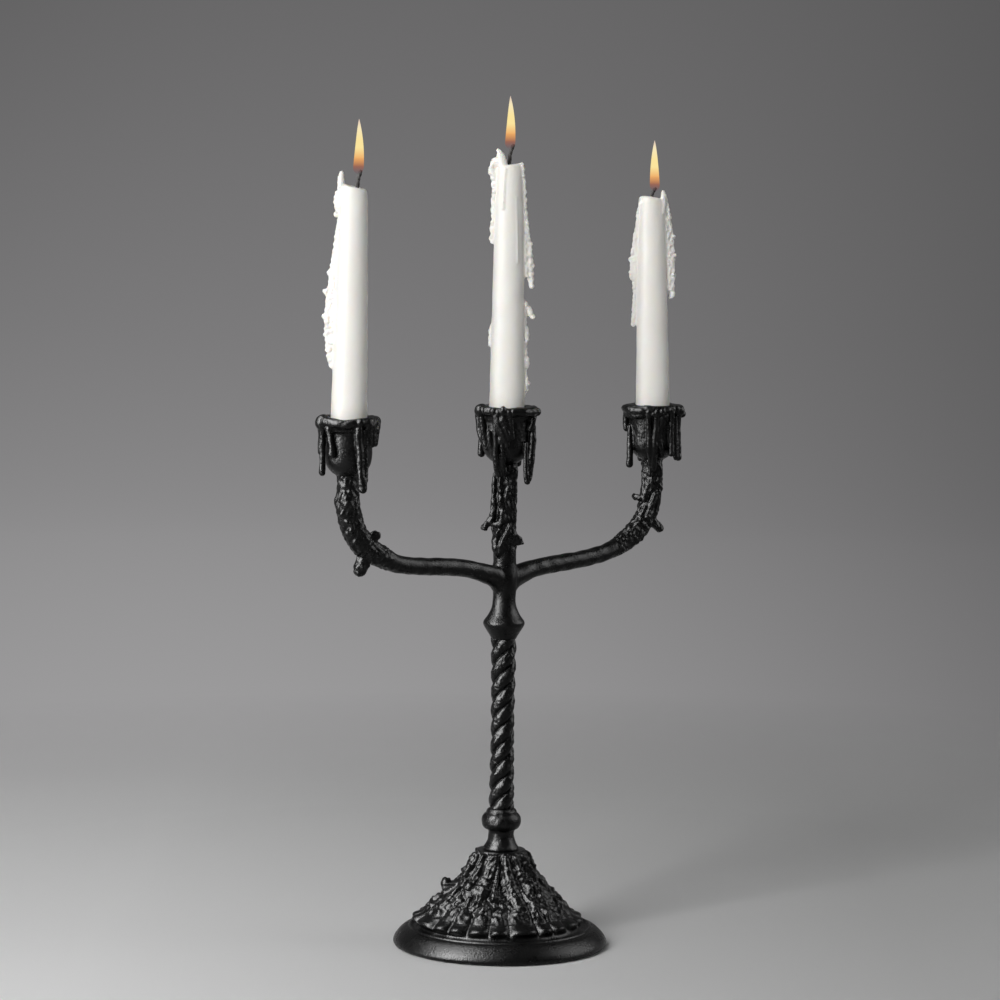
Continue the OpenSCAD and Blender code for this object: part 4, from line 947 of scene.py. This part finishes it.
class Candle(Waxed):
    """One candle. A place on it is an angle from the front, a distance off its side and a depth below
    its tip. The whole candle leans, and is lifted so that its foot clears the socket's floor."""

    def __init__(self, side, cup, length, lean):
        self.side = side
        self.length = length
        self.lean = np.radians(lean)
        lift = foot_gap + abs(candle_r * np.sin(self.lean))
        self.foot = np.array([cup.axis[0], 0.0, cup.axis[2] + socket_floor + lift])
        self.up = np.array([0, 0, np.cos(self.lean)]) + lean_way * np.sin(self.lean)
        self.right = unit(picture_side - (picture_side @ self.up) * self.up)
        self.front = np.cross(self.right, self.up)

    def inside(self, right_by, front_by, z):
        """A place by distances to the right, as seen from the front, and to the front, and a height."""
        return (self.foot + np.asarray(right_by)[..., None] * self.right
                + np.asarray(front_by)[..., None] * self.front + np.asarray(z)[..., None] * self.up)

    def radius(self, z):
        return candle_r - (candle_r - tip_r) * z / self.length

    def at(self, angle, off, below):
        z = self.length - below
        out = self.radius(z) + off
        way = np.radians(angle)
        return self.inside(out * np.sin(way), out * np.cos(way), z)

    def body(self, tilt, tilt_way):
        """The taper itself, its foot trimmed to the socket and its tip tilted, with a shallow pool."""
        z, tip = self.length, self.radius(self.length)
        line = np.vstack([
            [(candle_r - 0.6, 0.0), (candle_r, 0.8)],
            [(self.radius(z * k), z * k) for k in np.linspace(0.05, 0.975, 40)],
            smooth_line([(tip - 0.1, z - 2.6), (tip - 0.5, z - 1), (tip - 1.6, z - 0.1),
                         (tip - 2.8, z - 0.2), (3.4, z - 1.2), (1.4, z - 1.5)], 18),
        ])
        way = circle(72)
        lift = tilt * fade(line[:, 1:], z - 12, z) * np.cos(way - np.radians(tilt_way))
        return self.inside(line[:, :1] * np.sin(way), line[:, :1] * np.cos(way), line[:, 1:] + lift)

    def cast(self, seed, parts):
        """Fuses the candle with its wax and makes the wax a little bumpy."""
        name = "candle_" + self.side
        candle = fuse(name + "_wax", self.wax(parts), voxel=0.5, rounds=4)
        places, normals = skin(candle)
        depth = (places - self.foot) @ self.up
        flat = places - self.foot - depth[:, None] * self.up
        bumpy = fade(np.linalg.norm(flat, axis=1) - self.radius(depth), 0.3, 1.2)
        grain = 0.06 * ripple(places, 16.0, seed) + bumpy * 0.22 * ripple(places, 3.2, seed + 1)
        push_skin(candle, places, normals, fade(depth, 24, 32) * grain)
        candle.data.materials.append(wax)
        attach(candle, self.side + "_candle")
        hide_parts(name)


left_candle = Candle("left", left, 154.4, 0.6)
middle_candle = Candle("middle", middle, 166.2, 0.0)
right_candle = Candle("right", right, 150.0, -1.2)

left_candle.cast(81, [
    left_candle.body(1.4, -100),
    # The curl at the tip
    [(-62, -0.8, 9, 2.2), (-66, -0.4, 2, 2.1), (-72, -0.6, -4, 1.9), (-76, -0.9, -7.2, 1.5)],
    [(-78, 0.6, 14, 1.5), (-80, 1.2, 9, 1.9), (-80, 1, 4, 1.6)],
    (-86, 1, 16.5, 1.6),
    [(-58, 0.2, 12, 1.2), (-60, 0.2, 18, 1), (-64, 0.3, 24, 1.2)],
    # The wing down the left side
    [(-74, -0.4, 20, 1.2), (-80, 0.2, 30, 1.5), (-86, 0.6, 42, 1.6)],
    [(-88, 0.6, 30, 1), (-92, 1.6, 42, 1.6), (-94, 2.8, 54, 1.8), (-94, 3.8, 66, 1.9), (-92, 4, 78, 1.9)],
    [(-84, 0.4, 40, 1.4), (-88, 1.2, 54, 1.8), (-90, 1.8, 68, 1.9), (-90, 2, 82, 1.7)],
    [(-90, 3.8, 76, 1.8), (-90, 3.6, 84, 1.9), (-90, 3, 90, 1.7), (-90, 2.6, 94.6, 2)],
    [(-80, 0.2, 62, 1.4), (-82, 0.4, 76, 1.5), (-82, 0.2, 90, 1.3)],
    (-94, 4, 50, 1.7), (-94, 5.5, 61, 1.9), (-94, 5.8, 75, 1.9), (-92, 4.6, 86, 1.7),
    [(-88, 2.2, 93, 1.7), (-88, 1.6, 99, 1.8), (-90, 0.4, 104, 1.5)],
    # Behind
    [(170, 0.2, 6, 1.6), (174, 0.4, 20, 1.4), (176, 0.5, 36, 1.8)],
    [(-130, 0.2, 4, 1.6), (-134, 0.6, 24, 1.4), (-132, 0.8, 48, 1.9)],
])

middle_candle.cast(83, [
    middle_candle.body(1.0, 90),
    # The big lump at the tip with its square tab
    [(-40, -3, 4, 3), (-58, -2.6, -1.6, 2.8), (-66, -2, -5, 2.6)],
    [(-60, -2.6, -3, 2), (-66, -1.6, -6.4, 1.7), (-74, -0.6, -8.4, 1.2)],
    [(-66, -1, -1, 2.4), (-76, 0.6, -1.6, 2.6), (-84, 1.8, 0.6, 2.5), (-86, 2.4, 5, 2.3)],
    [(-84, 1.4, 4, 2.2), (-84, 0.8, 10, 1.9), (-82, 0.6, 16, 1.8)],
    [(-84, 0.6, 14, 1.5), (-88, 0.9, 22, 1.6), (-86, 0.8, 30, 1.4), (-88, 1, 38, 1.6), (-88, 0.8, 46, 1.4)],
    (-92, 1.6, 20, 1.2), (-92, 1.7, 28, 1.3), (-92, 1.8, 36, 1.2), (-90, 1.7, 44, 1.4),
    [(-20, -0.5, 3, 1.2), (-24, -0.3, 14, 1.1), (-26, -0.4, 26, 1.3)],
    # The sheet down the right side, its free tip and the nubs below
    [(66, -0.4, 0, 1.5), (76, 0.2, 12, 1.4), (84, 0.6, 26, 1.5), (88, 1.4, 40, 1.7)],
    [(88, 0.8, 30, 1.3), (90, 2.2, 42, 1.7), (92, 3.4, 54, 1.9), (92, 4, 64, 1.8), (92, 4.4, 72.6, 1.6)],
    [(84, 0.2, 40, 1.5), (86, 0.9, 54, 1.7), (88, 1.4, 66, 1.7)],
    (92, 4, 47, 1.4), (92, 5, 60, 1.5),
    [(88, 0, 82, 1.5), (90, 2.4, 86, 1.8), (91, 5, 90.6, 1.8)],
    [(86, 0.2, 84, 1.4), (88, 0.4, 92, 1.4)],
    [(86, 0, 94, 1.5), (88, 1.3, 103, 1.8), (87, 0.2, 110, 1.4), (88, 1.2, 118, 1.8), (87, 0.1, 125, 1.4),
     (88, 1.2, 131, 1.8), (86, -0.4, 138, 1.2)],
    [(-88, 0, 96, 0.9), (-90, 0.7, 102, 1.2), (-90, 0.5, 108, 1)],
    [(30, -0.6, 20, 0.9), (34, -0.4, 40, 0.8), (36, -0.4, 58, 1)],
    [(170, 0.2, 4, 1.6), (172, 0.5, 26, 1.4), (174, 0.6, 52, 1.9)],
    [(130, 0.2, 2, 1.6), (128, 0.6, 30, 1.4), (126, 0.7, 60, 1.9)],
])

right_candle.cast(85, [
    right_candle.body(1.2, -60),
    # The peak and the wing at the right
    [(58, -0.8, 9, 1.8), (66, -0.6, 1, 1.7), (74, -0.8, -3.4, 1.3)],
    [(74, -0.4, -2, 1.3), (84, 1.2, 6, 1.5), (90, 2.4, 16, 1.5), (92, 3.2, 28, 1.7), (92, 3.4, 42, 1.8),
     (92, 3, 54, 1.8), (92, 2.8, 61.6, 1.6)],
    [(84, 0.2, 10, 1.3), (86, 1, 26, 1.6), (88, 1.4, 44, 1.7), (88, 1.2, 56, 1.6)],
    [(76, 0, 4, 1.2), (80, 0.2, 20, 1.2), (82, 0.2, 38, 1.3)],
    (92, 4.6, 24, 1.3), (92, 5, 36, 1.4), (92, 4.8, 48, 1.3),
    # The sheet at the left and the thin drip with a bead
    [(-60, -0.6, 3, 1.4), (-72, 0, 8, 1.4), (-80, 0.4, 16, 1.5), (-86, 1, 26, 1.6)],
    [(-88, 1, 20, 1.3), (-92, 2.4, 32, 1.6), (-92, 3.2, 42, 1.7), (-92, 3.4, 50, 1.5)],
    [(-84, 0.3, 24, 1.3), (-88, 1, 36, 1.6), (-88, 1.2, 48, 1.5)],
    [(-92, 2.6, 46, 1.4), (-92, 2, 54, 1.2), (-92, 1.8, 64, 1.1), (-92, 1.9, 72, 1.3), (-92, 2, 78, 1.7)],
    (-92, 4.4, 38, 1.3), (-92, 4.6, 46, 1.2),
    [(172, 0.2, 4, 1.6), (170, 0.5, 24, 1.4), (168, 0.6, 50, 1.9)],
    [(-140, 0.2, 6, 1.4), (-142, 0.6, 30, 1.3), (-144, 0.8, 56, 1.8)],
])

# Wicks
# Braided cotton, charred black and bent over where it burns.
char, place = new_material("charred_cotton")
place.shade({
    "Base Color": place.noise(0.7, 3.0).tint((0.006, 0.005, 0.005, 1), (0.030, 0.024, 0.020, 1)),
    "Roughness": 0.9,
    "Normal": place.noise(0.4, 3.0).bump(1.0, 0.15),
})

# For each side: the candle, the wick's bare height, the flame's shift to the right and the wick's bend
wick_r, wick_rows, wick_sides = 1.1, 40, 18
wicks = {
    "left": (left_candle, 10.6, 2.4, [(2.2, -3), (2.3, 1.5), (2.7, 4.6), (3.5, 7.4), (4.2, 9.4)]),
    "middle": (middle_candle, 12.8, -0.2,
               [(-0.5, -3), (-0.2, 2.6), (0.0, 6.0), (0.7, 8.6), (1.6, 10.8), (2.2, 12.2)]),
    "right": (right_candle, 7.4, 2.0, [(0.0, -3), (-0.1, 0.6), (0.4, 2.6), (1.5, 4.6), (2.8, 6.2)]),
}
for side, (candle, _, _, bend) in wicks.items():
    line = smooth_line(bend, wick_rows)
    middle_line = candle.inside(line[:, 0], 0 * line[:, 0], candle.length + line[:, 1])
    along = unit(np.gradient(middle_line, axis=0))
    across = unit(np.cross(along, candle.front))
    twist = np.linspace(0, 9, wick_rows)[:, None]
    taper = 1 - 0.35 * fade(np.linspace(0, 1, wick_rows), 0.8, 1.0)[:, None]
    radius = wick_r * taper * (1 + 0.14 * np.cos(3 * (circle(wick_sides) + twist)))
    shell = middle_line[:, None] + radius[..., None] * rings(across, np.cross(along, across), wick_sides)
    wick = make_piece("wick_" + side + "_cotton", *closed(shell))
    wick.data.materials.append(char)
    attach(wick, side + "_candle")
    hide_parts("wick_" + side)

# Flames
# Tall still flames: a pale point, a yellow body and an orange and mauve foot that thins out to
# nothing round the wick.
flame_tall = 31.8
flame_r = 3.1
# The bands of colour up the flame: where each begins, where it is full, and its colour
bands = ((0.14, 0.30, (0.86, 0.42, 0.14, 1)), (0.28, 0.48, (0.97, 0.78, 0.34, 1)),
         (0.62, 0.84, (0.93, 0.80, 0.50, 1)), (0.84, 0.98, (0.80, 0.62, 0.52, 1)))
for side, (candle, bare, shift, _) in wicks.items():
    start = candle.length + bare - 3.7
    share = np.concatenate([np.linspace(0, 0.2, 14), np.linspace(0.22, 1, 44)])[:, None]
    foot_share = np.clip(share / 0.13, 0, 1)
    radius = flame_r * (foot_share * (2 - foot_share)) ** 0.6 * (1 - share ** 1.9) ** 0.85
    turn = circle(32)
    bow = shift + 0.5 * np.sin(np.pi * share) * (-0.4 if side == "right" else 1)
    shell = candle.inside(bow + radius * np.sin(turn), radius * np.cos(turn) + 0 * bow,
                          start + flame_tall * share + 0 * turn)
    flame = make_piece("flame_" + side + "_glow", *closed(shell))
    glow, place = new_material("flame_" + side)
    climb = (place.parts()[2] - float(shell[..., 2].min() * MM)) / float(np.ptp(shell[..., 2]) * MM)
    colour = climb.between(0.02, 0.16).tint((0.17, 0.10, 0.115, 1), (0.36, 0.14, 0.085, 1))
    for begin, full, hue in bands:
        colour = climb.between(begin, full).tint(colour, hue)
    place.shade({
        "Emission Color": colour,
        "Emission Strength": 1.0,
        "Base Color": (0, 0, 0, 1),
        "Specular IOR Level": 0.0,
        "Roughness": 1.0,
        "Alpha": climb.between(-0.02, 0.22) * (1 - 0.35 * climb.between(0.8, 1.0)),
    })
    flame.data.materials.append(glow)
    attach(flame, side + "_candle")
    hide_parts("flame_" + side)

# Studio
# A wide round floor that sweeps up into a wall, both grey, under soft lamps. Away from the object both glow
# with a painted light that darkens to the sides, further off and up the wall, and the floor's colour is
# painted darker to the right, a painted shade. The key stands at the left, a faint fill at the right and a
# faint one above. The three gleam lamps are seen only in the lacquer's sheen, so that each round bar has a
# bright band at its left and a fainter one at its right.
floor_r, sweep_r, wall_top = 2.6, 1.0, 3.2
stage_columns = 96
stage_line = np.vstack([
    [(0.02, 0.0)], [(r, 0.0) for r in np.linspace(0.1, floor_r, 26)],
    [(floor_r + sweep_r * np.sin(a), sweep_r - sweep_r * np.cos(a)) for a in np.radians(np.arange(6, 91, 6))],
    [(floor_r + sweep_r, wall_top)],
]) * 1000
stage_shell = lathe(stage_line, (0, 0, 0), stage_columns)
stage_faces = grid_faces(len(stage_line), stage_columns, False)[:, ::-1]
stage = make_piece("studio_sweep", stage_shell.reshape(-1, 3), stage_faces)
paper, place = new_material("studio_paper")
x, y, z = place.parts()
side_x, side_y = picture_side[0], -picture_side[1]
to_right = x * side_x - y * side_y
behind = x * side_y + y * side_x
# Painted light: how brightly the backdrop glows, darker to both sides, further off and up the wall
aside = to_right / (2.1 + place.maths("MAXIMUM", behind, 0.0))
aside = place.maths("MAXIMUM", place.maths("MINIMUM", aside, 0.16), -0.16)
side_fall = place.maths("EXPONENT", aside * (1.6 * z - 2.05) - 10.0 * aside * aside)
back_fall = 1 - 0.25 * behind.between(0.8, 3.2)
wall_fall = 1 - 0.42 * z.between(0.0, 0.9) ** 0.7
tone = (0.40 - 0.108 * behind.between(0.22, 0.60)) * back_fall * wall_fall * side_fall
# Away from the object the paper glows with that painted light, less so in front, where the sheen mirrors it
path = place.node("LightPath").socket.node
seen = Wire(place.tree, path.outputs["Is Camera Ray"])
for kind in ("Is Glossy Ray", "Is Transmission Ray"):
    mirrored = Wire(place.tree, path.outputs[kind]) * (0.25 + 0.75 * behind.between(-0.9, -0.2))
    seen = place.maths("MAXIMUM", seen, mirrored)
shadow_x, shadow_y = x - 0.06, y - 0.02
around = (shadow_x * shadow_x + shadow_y * shadow_y) ** 0.5
own_glow = around.between(0.46, 1.05) * seen
place.shade({
    # The floor's own colour is painted darker to the right: a painted shade, as if the light fell off away
    # from the left
    "Base Color": (1 - own_glow) * (0.91 - 0.30 * to_right.between(-0.25, 0.25)),
    # The painted light of the backdrop: its glow in that tone
    "Emission Color": (tone * own_glow).tint(grey(0.0), (1.0, 0.985, 1.0, 1.0)),
    "Emission Strength": 1.0,
    "Roughness": 0.9,
    "Specular IOR Level": 0.1,
})
stage.data.materials.append(paper)

# Rectangular lamps: distance, angle from the front, height, width and height in metres, and power
lamps = (
    ("key_left", 1.5, -36, 1.05, 0.6, 1.3, 23),
    ("gleam_left", 1.35, -60, 0.75, 0.75, 1.5, 120),
    ("gleam_high", 0.75, -81, 1.35, 0.9, 0.9, 32),
    ("gleam_right", 1.4, 104, 0.95, 0.9, 1.2, 14),
    ("fill_right", 1.6, 85, 0.8, 0.6, 1.3, 3.4),
    ("top", 0.6, -120, 2.2, 1.4, 1.4, 1.5),
)
for name, away_by, angle, height, wide, tall, power in lamps:
    light = bpy.data.lights.new(name, "AREA")
    light.shape = "RECTANGLE"
    light.size = wide
    light.size_y = tall
    light.energy = power
    box = bpy.data.objects.new(name, light)
    bpy.context.scene.collection.objects.link(box)
    box.location = round_axis(away_by, np.radians(FRONT + angle), height)
    box.rotation_mode = "QUATERNION"
    box.rotation_quaternion = (Vector((0, 0, 0.27)) - box.location).to_track_quat("-Z", "Y")
    box.visible_camera = False
    box.visible_diffuse = not name.startswith("gleam")
world = bpy.data.worlds.new("studio_air")
world.use_nodes = True
world.node_tree.nodes["Background"].inputs["Color"].default_value = (0.5, 0.5, 0.5, 1)
world.node_tree.nodes["Background"].inputs["Strength"].default_value = 0.12
bpy.context.scene.world = world
bpy.context.scene.view_settings.view_transform = "Standard"
